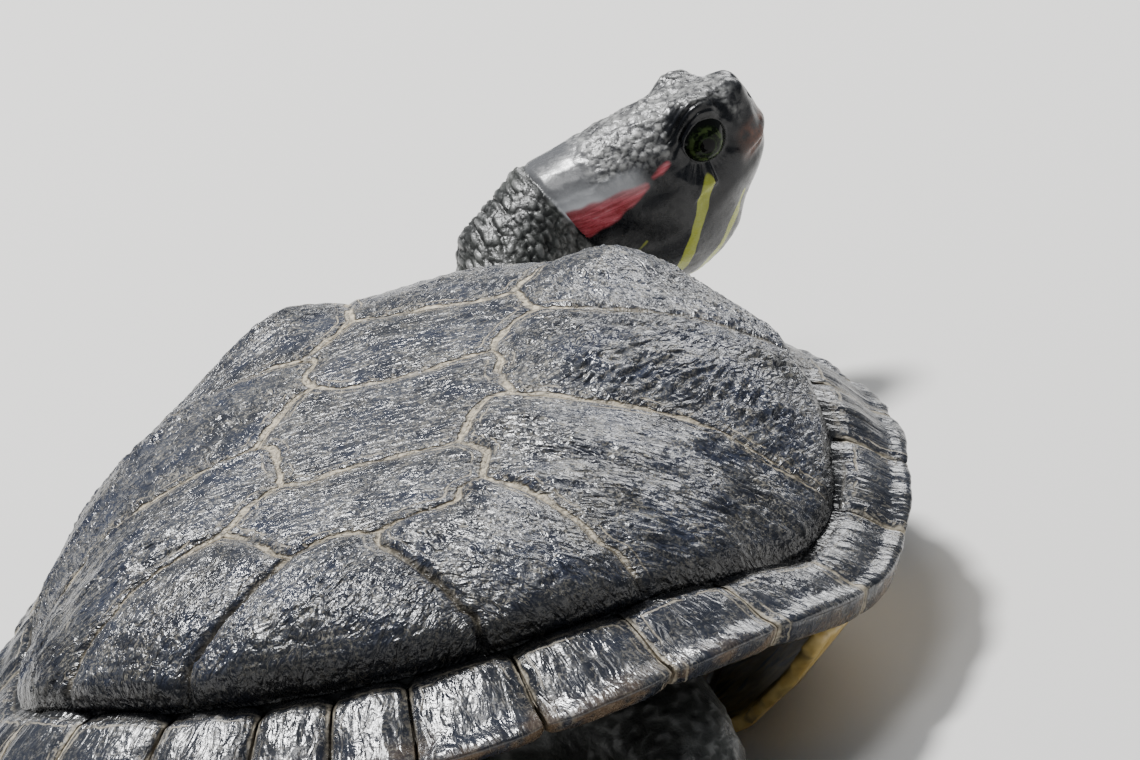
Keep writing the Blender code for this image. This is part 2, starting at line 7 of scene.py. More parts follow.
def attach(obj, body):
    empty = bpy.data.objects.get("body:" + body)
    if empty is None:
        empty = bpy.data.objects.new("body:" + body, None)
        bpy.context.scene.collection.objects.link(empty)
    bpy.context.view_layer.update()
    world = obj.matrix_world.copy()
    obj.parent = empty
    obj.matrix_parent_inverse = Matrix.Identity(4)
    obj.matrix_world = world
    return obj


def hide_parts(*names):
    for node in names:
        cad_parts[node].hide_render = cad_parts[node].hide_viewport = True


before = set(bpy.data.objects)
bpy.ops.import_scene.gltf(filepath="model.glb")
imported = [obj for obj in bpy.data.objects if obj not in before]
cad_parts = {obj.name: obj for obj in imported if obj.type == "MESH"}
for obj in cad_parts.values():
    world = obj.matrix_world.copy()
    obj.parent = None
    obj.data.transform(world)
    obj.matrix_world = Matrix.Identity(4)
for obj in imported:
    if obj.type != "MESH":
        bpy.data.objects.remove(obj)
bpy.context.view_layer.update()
mm = 0.001
print("frame loaded:", len(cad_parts), "nodes")


# small helpers

def pickOnly(obj):
    bpy.ops.object.select_all(action="DESELECT")
    obj.select_set(True)
    bpy.context.view_layer.objects.active = obj


def threes(source, key):              # one vector for each item, as rows
    flat = np.empty(len(source) * 3, np.float32)
    source.foreach_get(key, flat)
    return flat.reshape(-1, 3).astype(float)


def pointsOf(obj):
    return threes(obj.data.vertices, "co")


def normalsOf(obj):
    return threes(obj.data.vertex_normals, "vector")


def setPoints(obj, points):
    obj.data.vertices.foreach_set("co", np.asarray(points, np.float32).ravel())
    obj.data.update()


def keep(obj, **values):              # one number for each vertex, for the materials to read
    for name, numbers in values.items():
        attribute = obj.data.attributes.new(name, "FLOAT", "POINT")
        attribute.data.foreach_set("value", np.asarray(numbers, np.float32))


def grainMap(obj, u, v):              # a UV map in centimetres that follows the grain
    corners = np.empty(len(obj.data.loops), np.int32)
    obj.data.loops.foreach_get("vertex_index", corners)
    spots = np.stack([u, v], -1)[corners].astype(np.float32)
    obj.data.uv_layers.new(name="grain").data.foreach_set("uv", spots.ravel())


def outward(obj, mergeAt=0):          # faces turned to point out, after doubles are merged
    pickOnly(obj)
    bpy.ops.object.mode_set(mode="EDIT")
    bpy.ops.mesh.select_all(action="SELECT")
    if mergeAt:
        bpy.ops.mesh.remove_doubles(threshold=mergeAt)
    bpy.ops.mesh.normals_make_consistent(inside=False)
    bpy.ops.object.mode_set(mode="OBJECT")


def addSphere(segments, rings, radius=1):
    bpy.ops.object.select_all(action="DESELECT")
    bpy.ops.mesh.primitive_uv_sphere_add(segments=segments, ring_count=rings, radius=radius)
    return bpy.context.object


def settle(obj, name, material, nodes=()):      # name it, give it its finish, fix it to the frame
    obj.name = name
    obj.data.name = name
    obj.data.materials.clear()
    obj.data.materials.append(material)
    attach(obj, "root")
    if nodes:
        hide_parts(*nodes)
    return obj


def lattice(ix, iy, iz, seed):        # a fixed whole number for each cell
    h = (ix * 374761393 + iy * 668265263 + iz * 1440662683 + seed * 144665) & 0xffffffff
    h = (h ^ (h >> 13)) * 1274126177 & 0xffffffff
    return h ^ (h >> 16)


def cellsOf(points, size):            # points counted in cells of that size, and the cell each is in
    p = np.asarray(points, float) / size + 300
    cell = np.floor(p).astype(np.int64)
    return p, cell


def noise(points, size, seed=0):      # smooth noise of about -1 to 1, its lumps as large as size
    p, cell = cellsOf(points, size)
    f = p - cell
    w = f * f * f * (f * (f * 6 - 15) + 10)
    total = 0
    for corner in range(8):
        d = np.array([corner & 1, corner >> 1 & 1, corner >> 2 & 1])
        h = lattice(*(cell + d).T, seed)
        gradient = np.stack([(h >> s & 255) / 127.5 - 1 for s in (0, 8, 16)], -1)
        weight = np.prod(np.where(d, w, 1 - w), -1)
        total = total + weight * ((f - d) * gradient).sum(-1)
    return total * 1.5


def layered(points, size, seed=0):    # noise with two finer layers on it
    return sum(noise(points, size / 2 ** k, seed + k) / 2 ** k for k in range(3)) / 1.5


def creases(points, size, seed=0):    # 1 along thin winding crests, falling to 0 between them
    return np.clip(1 - 2.2 * np.abs(noise(points, size, seed)), 0, 1)


def pebbles(points, size, seed=0):    # rounded scales: 0 in the creases between them, 1 on their tops
    p, cell = cellsOf(points, size)
    first, second = np.full(len(p), 9.0), np.full(len(p), 9.0)
    for corner in range(27):
        d = np.array([corner % 3 - 1, corner // 3 % 3 - 1, corner // 9 - 1])
        h = lattice(*(cell + d).T, seed)
        spot = cell + d + 0.1 + 0.8 * np.stack([(h >> s & 255) / 255 for s in (0, 8, 16)], -1)
        gap = np.linalg.norm(p - spot, axis=1)
        second = np.minimum(second, np.maximum(first, gap))
        first = np.minimum(first, gap)
    return np.sqrt(np.clip((second - first) * 1.5, 0, 1))


def smoothStep(x, low, high):
    t = np.clip((x - low) / (high - low), 0, 1)
    return t * t * (3 - 2 * t)


def hill(x, width, power=2):          # 1 at zero, falling off to both sides
    return np.exp(-(np.abs(x) / width) ** power)


def alongCurve(a, b, c, d, t):        # a smooth curve from b to c, with a before it and d after it
    return 0.5 * (2 * b + (c - a) * t + (2 * a - 5 * b + 4 * c - d) * t ** 2
                  + (3 * b - a - 3 * c + d) * t ** 3)


def evenly(line, step):               # the same line with evenly spaced points
    lengths = np.concatenate([[0], np.cumsum(np.linalg.norm(np.diff(line, axis=0), axis=1))])
    marks = np.linspace(0, lengths[-1], max(3, int(round(lengths[-1] / step)) + 1))
    return np.stack([np.interp(marks, lengths, line[:, k]) for k in range(2)], -1)


def ovalRadius(angle, halfWidth, halfLength, order):      # higher orders are squarer
    across = np.abs(np.cos(angle)) / halfWidth
    along = np.abs(np.sin(angle)) / halfLength
    return (across ** order + along ** order) ** (-1 / order)


def edgeDistance(points, outline):    # distance in the flat plane from each point to the closed outline
    best = np.empty(len(points))
    along = np.roll(outline, -1, axis=0) - outline
    for first in range(0, len(points), 4000):
        part = points[first:first + 4000, None, :]
        t = ((part - outline) * along).sum(-1) / np.maximum((along ** 2).sum(-1), 1e-18)
        gap = part - outline - np.clip(t, 0, 1)[..., None] * along
        best[first:first + 4000] = np.sqrt((gap ** 2).sum(-1).min(1))
    return best


def discSphere(around, rings):        # a sphere whose rings will become a plate: top, rim and underside
    obj = addSphere(around, rings + 1)
    p = pointsOf(obj)
    ring = np.rint(np.arccos(np.clip(p[:, 2], -1, 1)) / math.pi * (rings + 1)).astype(int)
    turn = (np.arctan2(p[:, 1], p[:, 0]) % math.tau) / math.tau
    return obj, ring, np.rint(turn * around).astype(int) % around


# shader maths

class Socket:
    def __init__(self, tree, link):
        self.tree, self.link = tree, link

    def maths(self, operation, *values, clamp=False):
        settings = dict(operation=operation, use_clamp=clamp)
        return self.tree.node("ShaderNodeMath", settings, dict(enumerate(values)))

    def __add__(self, other): return self.maths("ADD", self, other)
    def __radd__(self, other): return self.maths("ADD", other, self)
    def __sub__(self, other): return self.maths("SUBTRACT", self, other)
    def __rsub__(self, other): return self.maths("SUBTRACT", other, self)
    def __mul__(self, other): return self.maths("MULTIPLY", self, other)
    def __rmul__(self, other): return self.maths("MULTIPLY", other, self)
    def high(self, other): return self.maths("MAXIMUM", self, other)
    def absolute(self): return self.maths("ABSOLUTE", self)
    def clamp(self): return self.maths("ADD", self, 0, clamp=True)


class Tree:                           # a material with its Principled shader
    def __init__(self, name, **fixed):
        self.material = bpy.data.materials.new(name)
        self.material.use_nodes = True
        self.nodes = self.material.node_tree.nodes
        self.shader = self.nodes["Principled BSDF"]
        for socket, value in fixed.items():
            self.shader.inputs[socket].default_value = value
        self.place = self.node("ShaderNodeTexCoord", out="Object")

    def node(self, kind, settings=None, values=None, out=0):
        made = self.nodes.new(kind)
        for key, value in (settings or {}).items():
            setattr(made, key, value)
        for key, value in (values or {}).items():
            if isinstance(value, Socket):
                self.material.node_tree.links.new(value.link, made.inputs[key])
            else:
                made.inputs[key].default_value = value
        return Socket(self, made.outputs[out])

    def values(self, *names):         # the numbers kept on the vertices
        return [self.node("ShaderNodeAttribute", dict(attribute_name=n), out="Fac") for n in names]

    def grain(self, scale, turn=(0, 0, 0)):
        return self.scaled(self.node("ShaderNodeUVMap", dict(uv_map="grain")), scale, turn)

    def scaled(self, vector, scale, turn=(0, 0, 0)):
        return self.node("ShaderNodeMapping", None, {"Vector": vector, "Scale": scale, "Rotation": turn})

    def noise(self, scale, detail, rough=0.55, warp=0, on=None):
        names = ("Vector", "Scale", "Detail", "Roughness", "Distortion")
        values = (on or self.place, scale, detail, rough, warp)
        return self.node("ShaderNodeTexNoise", None, dict(zip(names, values)))

    def between(self, value, low, high):      # 0 at low, 1 at high, eased
        return self.node("ShaderNodeMapRange", dict(interpolation_type="SMOOTHSTEP"),
                         {"Value": value, "From Min": low, "From Max": high})

    def patches(self, low, high, *noise):     # where a noise is high
        return self.between(self.noise(*noise), low, high)

    def mix(self, share, a, b):
        a, b = (c if isinstance(c, Socket) else (*c, 1) for c in (a, b))
        return self.node("ShaderNodeMix", dict(data_type="RGBA"), {0: share, 6: a, 7: b}, 2)

    def coats(self, colour, *coats):          # one coat over another, each with how much of it shows
        for share, tint in coats:
            colour = self.mix(share, colour, tint)
        return colour

    def feed(self, bump=None, **sockets):     # bump is height, strength and distance
        if bump:
            names = ("Height", "Strength", "Distance")
            sockets["Normal"] = self.node("ShaderNodeBump", None, dict(zip(names, bump)))
        for key, value in sockets.items():
            self.material.node_tree.links.new(value.link, self.shader.inputs[key.replace("_", " ")])
        return self.material


# carapace: its form in plan and height, as the solids have it

shell = {
    "centreY": -6.3 * mm, "halfWidth": 88.5 * mm, "rear": 98.7 * mm, "fore": 111.3 * mm,
    "rearOrder": 2.1, "foreOrder": 1.95, "ringShare": (0.885, 0.838, 0.791),     # side, fore, rear
    "ringHeight": 44.8 * mm, "flankDrop": 13.4 * mm, "flankAngle": math.radians(-7.9),
    "flankSpread": math.radians(26.8), "crown": 64.4 * mm, "crownRise": 0.0255,
    "power": (2.97, 5.2, 5.05), "round": (1.03, 0.56, 0.6),
    "rimDrop": (7.5 * mm, 5.0 * mm, 8.5 * mm), "rimDroop": 9.0 * mm, "rimThickness": 3.6 * mm,
    "shoulder": (35 * mm, 61 * mm, 5.5 * mm, 13 * mm),      # x, y, rise, spread
    "flatStretch": 0.3, "flatPower": 7.0,
}


def roundBlend(angle, side, fore, rear):
    share = np.sin(angle) ** 2
    return side * (1 - share) + np.where(np.sin(angle) > 0, fore, rear) * share


def rimRadius(angle):
    isFore = np.sin(angle) > 0
    return ovalRadius(angle, shell["halfWidth"], np.where(isFore, shell["fore"], shell["rear"]),
                      np.where(isFore, shell["foreOrder"], shell["rearOrder"]))


def ringRadius(angle):                # the dome's edge, inside the rim
    return rimRadius(angle) * roundBlend(angle, *shell["ringShare"])


def ringHeight(angle):
    fromSide = np.arcsin(np.clip(np.sin(angle), -1, 1)) - shell["flankAngle"]
    return shell["ringHeight"] - shell["flankDrop"] * hill(fromSide, shell["flankSpread"])


def onPlan(angle, reach):
    return reach * np.cos(angle), shell["centreY"] + reach * np.sin(angle)


def toPolar(x, y):                    # angle, and how far out to the dome's edge
    angle = np.arctan2(y - shell["centreY"], x)
    return angle, np.hypot(x, y - shell["centreY"]) / ringRadius(angle)


def domeHeight(x, y):
    angle, share = toPolar(x, y)
    share = np.minimum(share, 1)
    edge = ringHeight(angle)
    crown = shell["crown"] + shell["crownRise"] * y
    fall = (1 - share ** roundBlend(angle, *shell["power"])) ** roundBlend(angle, *shell["round"])
    sx, sy, rise, spread = shell["shoulder"]
    shoulder = rise * hill(np.hypot(np.abs(x) - sx, y - sy), spread)
    return edge + (crown - edge) * fall + shoulder * (1 - share ** 12)


def domeNormal(x, y, step=0.15 * mm):
    slopes = [(domeHeight(x + dx, y + dy) - domeHeight(x - dx, y - dy)) / (2 * step)
              for dx, dy in ((step, 0), (0, step))]
    normal = np.stack([-slopes[0], -slopes[1], np.ones_like(x)], -1)
    return normal / np.linalg.norm(normal, axis=1)[:, None]


# the dome laid nearly flat, so that spacing stays even down its steep edge
flatShares = np.linspace(0, 1, 400)
flatReach = flatShares + shell["flatStretch"] * flatShares ** shell["flatPower"]


def toFlat(x, y):
    angle, share = toPolar(x, y)
    reach = np.interp(share, flatShares, flatReach) * ringRadius(angle)
    return reach * np.cos(angle), reach * np.sin(angle)


def fromFlat(u, v):
    angle = np.arctan2(v, u)
    ring = ringRadius(angle)
    return onPlan(angle, np.interp(np.hypot(u, v) / ring, flatReach, flatShares) * ring)


# seams of the carapace, (x, y) in mm from node to node

seams = {
    "v12": [(15.8, 48), (10, 45.6), (0, 46.6), (-9, 48), (-15.9, 48.4)],
    "v23": [(16.8, 19), (10, 17.4), (0, 14.6), (-9.4, 14.2), (-17.2, 17.6)],
    "v34": [(17.6, -21.6), (8, -22.6), (-3, -24.4), (-9.4, -26.6), (-15.6, -26)],
    "v45": [(7.9, -54), (2.6, -52.8), (-2.5, -53.6), (-8.2, -57)],
    "neckR": [(37, 125), (31, 104), (24, 83)], "neckL": [(-37, 125), (-31, 104), (-24, 83)],
    "v1R": [(24, 83), (20.5, 66), (15.8, 48)], "v1L": [(-24, 83), (-20.5, 66), (-15.9, 48.4)],
    "v2aR": [(15.8, 48), (18.3, 43.5), (20.6, 38.8), (23, 36.6)],
    "v2bR": [(23, 36.6), (19.3, 32.5), (17.7, 26.4), (16.8, 19)],
    "v3aR": [(16.8, 19), (19.2, 15), (20.2, 7.5), (24.3, -1.4)],
    "v3bR": [(24.3, -1.4), (20, -2.6), (18.2, -8), (17.6, -21.6)],
    "v4aR": [(17.6, -21.6), (21.8, -25), (24.3, -29), (24.8, -38.4)],
    "v4bR": [(24.8, -38.4), (21.4, -42), (21, -47), (14.2, -49), (7.9, -54)],
    "v5R": [(7.9, -54), (8.8, -58), (13, -62.6), (18.6, -68), (25, -75), (28.5, -80), (40, -120)],
    "v2aL": [(-15.9, 48.4), (-18.2, 42.6), (-20.6, 38), (-22.8, 34)],
    "v2bL": [(-22.8, 34), (-19.6, 31), (-20.2, 24), (-17.2, 17.6)],
    "v3aL": [(-17.2, 17.6), (-20.4, 14), (-22.2, 7), (-24.5, -3.6)],
    "v3bL": [(-24.5, -3.6), (-20.8, -6.6), (-18.2, -14), (-15.6, -26)],
    "v4aL": [(-15.6, -26), (-19, -29.6), (-21.6, -36), (-23.4, -42)],
    "v4bL": [(-23.4, -42), (-18.6, -45.8), (-13.8, -51.6), (-8.2, -57)],
    "v5L": [(-8.2, -57), (-11.4, -61.5), (-18, -68), (-24, -74.5), (-28, -80), (-40, -120)],
    "c12R": [(23, 36.6), (36, 33.5), (50, 34), (64, 35.5), (74, 37), (110, 52)],
    "c23R": [(24.3, -1.4), (40, -5), (57, -4.5), (71, -7), (110, -10)],
    "c34R": [(24.8, -38.4), (37, -47), (47.5, -56.5), (54, -61.5), (85, -95)],
    "c12L": [(-22.8, 34), (-36, 33.5), (-50, 34), (-64, 35.5), (-74, 37), (-110, 52)],
    "c23L": [(-24.5, -3.6), (-40, -5), (-57, -4.5), (-71, -7), (-110, -10)],
    "c34L": [(-23.4, -42), (-37, -48), (-47.5, -56), (-54, -61.5), (-85, -95)],
    "step": 0.55 * mm, "wander": 0.55 * mm,
}


def seamCurve(points, step):          # an even, rounded line through the points
    p = np.vstack([2 * points[0] - points[1], points, 2 * points[-1] - points[-2]])
    t = np.linspace(0, 1, 40, endpoint=False)[:, None]
    pieces = [alongCurve(*corners, t) for corners in zip(p, p[1:], p[2:], p[3:])]
    return evenly(np.vstack(pieces + [p[-2][None]]), step)


def seamLine(key):
    line = seamCurve(np.array(seams[key]) * mm, seams["step"])
    flat = np.column_stack([line, np.zeros(len(line))])
    line = line + np.stack([layered(flat, 5 * mm, seed) for seed in (3, 9)], -1) * seams["wander"]
    _, share = toPolar(*line.T)
    if (share <= 1).all():
        return line
    if share[0] > 1:                  # starts outside the dome: run it backwards, then turn it round
        return cutAtRing(line[::-1], share[::-1])[::-1]
    return cutAtRing(line, share)


def cutAtRing(line, share):
    last = int(np.argmax(share > 1))
    t = (1 - share[last - 1]) / (share[last] - share[last - 1])
    return np.vstack([line[:last], line[last - 1] * (1 - t) + line[last] * t])


def ringLine(start, end):             # along the dome's edge from one point to another, the short way
    a, b = (math.atan2(p[1] - shell["centreY"], p[0]) for p in (start, end))
    turn = (b - a + math.pi) % math.tau - math.pi
    angles = a + turn * np.linspace(0, 1, 200)
    line = evenly(np.stack(onPlan(angles, ringRadius(angles)), -1), seams["step"])
    line[0], line[-1] = start, end
    return line


def outlineOf(*keys):                 # seams end to end: "-" runs one backwards, "ring" follows the edge
    lines = []
    for key in keys:
        line = None if key == "ring" else seamLine(key.strip("-"))
        lines.append(line[::-1] if key[0] == "-" else line)
    for index, line in enumerate(lines):
        if line is None:
            lines[index] = ringLine(lines[index - 1][-1], lines[(index + 1) % len(lines)][0])
    return np.vstack([line[:-1] for line in lines])


# dorsal scutes: the seams round each, its bulge in mm, the grain's direction in degrees,
# how strong the wrinkles are, and how long
dorsalScutes = {
    "vertebral_1": (["neckR", "v1R", "v12", "-v1L", "-neckL", "ring"], 0.7, 80, 0.5, 2),
    "vertebral_2": (["v2aR", "v2bR", "v23", "-v2bL", "-v2aL", "-v12"], 0.6, 20, 0.45, 2),
    "vertebral_3": (["v3aR", "v3bR", "v34", "-v3bL", "-v3aL", "-v23"], 0.6, 15, 0.45, 2),
    "vertebral_4": (["v4aR", "v4bR", "v45", "-v4bL", "-v4aL", "-v34"], 0.9, 10, 0.6, 3),
    "vertebral_5": (["v5R", "ring", "-v5L", "-v45"], 2.6, 70, 1.0, 2),
    "costal_right_1": (["ring", "-c12R", "-v2aR", "-v1R", "-neckR"], 0.9, 120, 1.4, 2.5),
    "costal_right_2": (["c12R", "ring", "-c23R", "-v3aR", "-v2bR"], 0.9, 58, 1.9, 2.8),
    "costal_right_3": (["c23R", "ring", "-c34R", "-v4aR", "-v3bR"], 1.3, -12, 2.4, 5.5),
    "costal_right_4": (["c34R", "ring", "-v5R", "-v4bR"], 2.8, -40, 1.3, 3.5),
    "costal_left_1": (["neckL", "v1L", "v2aL", "c12L", "ring"], 0.9, 60, 0.8, 2.5),
    "costal_left_2": (["v2bL", "v3aL", "c23L", "ring", "-c12L"], 0.9, 120, 1.4, 3),
    "costal_left_3": (["v3bL", "v4aL", "c34L", "ring", "-c23L"], 1.2, 195, 1.6, 4),
    "costal_left_4": (["v4bL", "v5L", "ring", "-c34L"], 2.2, 240, 0.8, 2.5),
}

dorsal = {
    "thickness": 2.6 * mm, "spacing": 0.62 * mm, "bottomRings": 4,
    "edgeBand": 1.3 * mm, "edgeSteps": [0.7, 0.42, 0.2, 0.06, 0],      # fine rows along the seams
    "grooveDepth": 0.36 * mm, "grooveWidth": 0.75 * mm, "grooveRear": (40 * mm, 75 * mm),
    "lowerDrop": 1.7 * mm, "pillowReach": 0.33, "ringDepth": 0.06 * mm, "ringSpacing": 0.575 * mm,
    "lump": (0.42 * mm, 12 * mm), "smallLump": (0.1 * mm, 3.4 * mm),      # height and size
    "wrinkle": (0.4 * mm, 2.6 * mm), "fineWrinkle": (0.12 * mm, 1.5 * mm), "swirl": (1.3 * mm, 7 * mm),
}


def relief(grained, place, edge, reach, bulge, strength, length, seed):
    def lumps(size, shift):
        return noise(place, size * mm, seed + shift)

    pillow = bulge * (1 - hill(edge, dorsal["pillowReach"] * reach, 1.15))
    ruler = edge + 0.6 * mm * lumps(9, 0)
    rings = dorsal["ringDepth"] * np.sin(ruler / dorsal["ringSpacing"]) * smoothStep(edge, 1.5 * mm, 4 * mm)
    (high, size), (low, small) = dorsal["lump"], dorsal["smallLump"]
    uneven = high * layered(place, size, seed + 5) + low * noise(place, small, seed + 6)
    patch = 0.15 + 0.85 * smoothStep(lumps(13, 7), -0.3, 0.35)
    sway, swirl = dorsal["swirl"]
    swirled = grained + sway * np.stack([noise(place, swirl, 31), noise(place, swirl, 32), 0 * edge], -1)
    swirled = swirled * np.array([1 / length, 1, 1])
    wrinkled = sum(creases(swirled, size, seed + shift) * height
                   for (height, size), shift in ((dorsal["wrinkle"], 11), (dorsal["fineWrinkle"], 12)))
    return pillow + rings + uneven + strength * patch * wrinkled * smoothStep(edge, 0.5 * mm, 2 * mm)


def makeDorsal(keys, bulge, grain, strength, length, seed):
    outline = outlineOf(*keys)
    flat = np.stack(toFlat(*outline.T), -1)
    if np.sum(flat[:, 0] * np.roll(flat[:, 1], -1) - np.roll(flat[:, 0], -1) * flat[:, 1]) < 0:
        flat = flat[::-1]             # runs anticlockwise now
    middle = (flat.min(0) + flat.max(0)) / 2
    reach = np.linalg.norm(flat - middle, axis=1).mean()
    band = dorsal["edgeBand"] / reach
    shares = np.concatenate([np.linspace(0, 1 - band, int(reach / dorsal["spacing"]) + 1),
                             1 - band * np.array(dorsal["edgeSteps"])])
    top, bottom = len(shares) - 1, dorsal["bottomRings"]
    obj, ring, column = discSphere(len(flat), top + bottom)
    under = ring > top
    share = np.where(ring == top + 1, 0.998, shares[np.minimum(ring, top)])
    share = np.where(ring > top + 1, (top + bottom + 1 - ring) / bottom, share)
    uv = middle + (flat[column] - middle) * share[:, None]
    x, y = fromFlat(*uv.T)
    base = np.column_stack([x, y, domeHeight(x, y)])
    edge = edgeDistance(uv, flat)
    turn = math.radians(grain)
    along = uv[:, 0] * math.cos(turn) + uv[:, 1] * math.sin(turn)
    across = -uv[:, 0] * math.sin(turn) + uv[:, 1] * math.cos(turn)
    grained = np.column_stack([along, across, 0 * along])
    lift = relief(grained, base, edge, reach, bulge * mm, strength, length, seed)
    rearward = smoothStep(-y, *dorsal["grooveRear"])
    groove = hill(edge, dorsal["grooveWidth"] * (1 + 0.3 * rearward), 1.5)
    lift -= (1 + 2 * rearward) * dorsal["grooveDepth"] * groove
    _, ringShare = toPolar(x, y)
    lift -= dorsal["lowerDrop"] * smoothStep(ringShare, 0.962, 1.0) ** 1.3      # rounded over the rim
    lift = np.where(under, -dorsal["thickness"], lift)
    setPoints(obj, base + domeNormal(x, y) * lift[:, None])
    grainMap(obj, along * 100 + seed * 3.7, across * 100)
    crossing = hill(y - 36 * mm, 5 * mm) * smoothStep(np.abs(x), 27 * mm, 34 * mm)      # cleaner seams there
    keep(obj, edge=np.where(under, 0, edge * 1000), ringEdge=smoothStep(ringShare, 0.95, 0.985),
         muddy=(1 - 0.8 * smoothStep(-y, 52 * mm, 66 * mm)) * (1 - 0.75 * crossing))
    bpy.ops.object.shade_smooth()
    return obj


# finish of the horn on dome and rim

horn = {
    "slate": (0.017, 0.019, 0.026), "blue": (0.025, 0.031, 0.052), "haze": (0.07, 0.073, 0.08),
    # on the next line the crest colour is a painted highlight and the crease colour painted shade
    "crest": (0.24, 0.24, 0.235), "shadeInCreases": (0.013, 0.014, 0.018), "dust": (0.36, 0.33, 0.26),
    # the seam colour on the next line is painted shade for the seam grooves
    "clay": (0.27, 0.235, 0.175), "seamShade": (0.006, 0.006, 0.006),
    "rimSlate": (0.009, 0.011, 0.016), "worn": (0.2, 0.13, 0.07),
}


def hornFinish(name, edgeTint, bumps, worn=0):
    t = Tree(name, IOR=1.52)
    edge, ringEdge, muddy = t.values("edge", "ringEdge", "muddy")
    cloud, pits, speck = t.noise(150, 5, 0.62, 0.8), t.noise(420, 3, 0.55, 0.3), t.noise(1500, 3, 0.7)
    wrinkle = t.noise(2, 2, 0.5, 1.4, on=t.grain((0.9, 2.1, 1)))
    # painted highlight: light grey on the crests of the wrinkles, standing in for glints
    crest = t.between(wrinkle, 0.5, 0.64) * t.between(pits, 0.4, 0.6)
    # painted shade: the troughs of the wrinkles are darkened towards near-black
    creaseShadeMask = t.between(wrinkle, 0.43, 0.34) * 0.6
    silt = t.between((wrinkle - 0.44).absolute(), 0.022, 0.006) * t.patches(0.46, 0.6, 210, 4, 0.6)
    dust = (t.between(speck, 0.5, 0.64) * t.between(cloud, 0.34, 0.6) * 0.5).high(silt * 0.6)
    colour = t.coats(horn["slate"], (t.patches(0.35, 0.68, 60, 4), horn["blue"]),
                     (t.between(cloud, 0.38, 0.72) * 0.6, horn["haze"]), (crest * 0.2, horn["crest"]),
                     (creaseShadeMask, horn["shadeInCreases"]), (dust, horn["dust"]))
    if worn:                          # the rim is darker and cleaner than the dome
        colour = t.mix(0.5, colour, horn["rimSlate"])
    wobble = t.noise(420, 4, 0.65) * 1.3 + t.noise(150, 2) * 1.6 - 0.8
    fromSeam = edge + wobble
    sandy = t.patches(0.36, 0.5, 1000, 3, 0.7)
    packed = t.between(fromSeam, 1.6, 1.15) * t.patches(0.30, 0.4, 95, 3) * (sandy * 0.55 + 0.45)
    thread = t.between((fromSeam - 3.1).absolute(), 0.3, 0.1) * t.patches(0.46, 0.54, 120, 3)
    strewn = t.between(fromSeam, 4.4, 1.4) * t.patches(0.54, 0.62, 800, 3, 0.7) * 0.55
    mud = packed.high(thread * 0.7).high(strewn) * (1 - ringEdge) * muddy
    clay = t.mix(t.patches(0.35, 0.65, 900, 4), horn["clay"], edgeTint)
    # painted shade: near-black in the grooves along the seams and along the dome's edge by the rim, less
    # where mud lies in the seam
    groove = t.between(edge, 1.0, 0.2) * (1 - muddy * 0.85)
    colour = t.coats(colour, (groove.high(ringEdge * 0.8), horn["seamShade"]), (mud * 0.94, clay))
    if worn:
        bare = (t.values("under")[0] * t.patches(0.42, 0.66, 150, 4)).clamp()
        colour = t.mix(bare * worn, colour, horn["worn"])
    rough = 0.17 + t.between(cloud, 0.35, 0.8) * 0.12 + dust * 0.25 + mud * 0.45 + creaseShadeMask * 0.15
    height = (wrinkle * 1.1 + pits * 0.6) * (1 - mud * 0.6) + (speck + sandy * mud) * 0.05
    return t.feed(Base_Color=colour, Roughness=rough.clamp(), bump=(height, 1.0, bumps))


dorsalHorn = hornFinish("dorsalHorn", (0.6, 0.52, 0.38), 0.95 * mm)
for index, (name, settings) in enumerate(dorsalScutes.items()):
    settle(makeDorsal(*settings, index * 20), "scute_" + name, dorsalHorn, [name])
print("dorsal scutes made:", len(dorsalScutes))


# marginals: a rounded section swept round the rim, one scute at a time

rim = {
    "seams": [-90, -80, -66, -50.5, -35, -17, -0.5, 15, 30, 44, 58, 72, 86.4],      # degrees, tail to nose
    "stations": 34, "around": 64, "gap": 0.02 * mm, "tuck": 2.0 * mm, "swell": 0.9 * mm,
    "grooveDepth": 0.9 * mm, "grooveWidth": 0.6 * mm, "ringDrop": 0.7 * mm, "notch": 1.4 * mm,
    "streak": (0.5 * mm, 3.4 * mm), "scratch": (0.12 * mm, 1.6 * mm), "lump": (0.25 * mm, 7 * mm),
}


def rimCorners(angle):                # eight corners of the section at each plan angle, (n, 8, 3)
    top, thick = ringHeight(angle), shell["rimThickness"]
    droop = np.where(np.sin(angle) > 0, shell["rimDroop"] * np.sin(2 * angle) ** 2, 0)
    edge = top - roundBlend(angle, *shell["rimDrop"]) - droop
    fall = top - edge
    tuck = roundBlend(angle, 3 * mm, 0, 0.5 * mm)
    tuckedIn = -rim["tuck"] / (rimRadius(angle) - ringRadius(angle))      # reaches in under the dome
    rows = [(tuckedIn, top - 0.5 * mm), (0.35, top - 0.42 * fall), (0.72, edge + 0.16 * fall), (0.97, edge),
            (0.99, edge - 0.4 * thick), (0.72, edge - thick - 0.6 * tuck),
            (0.35, top - thick - 0.55 * fall - tuck), (tuckedIn, top - thick - 1.2 * mm)]
    corners = []
    for out, height in rows:
        reach = ringRadius(angle) * (1 - out) + rimRadius(angle) * out
        corners.append(np.stack([*onPlan(angle, reach), height], -1))
    return np.stack(corners, 1)


def roundSection(corners, around):    # closed smooth line through the corners, (n, around, 3)
    count = corners.shape[1]
    where = np.arange(around) / around * count
    k = where.astype(int)
    return alongCurve(*(corners[:, (k + j) % count] for j in (-1, 0, 1, 2)), (where - k)[None, :, None])


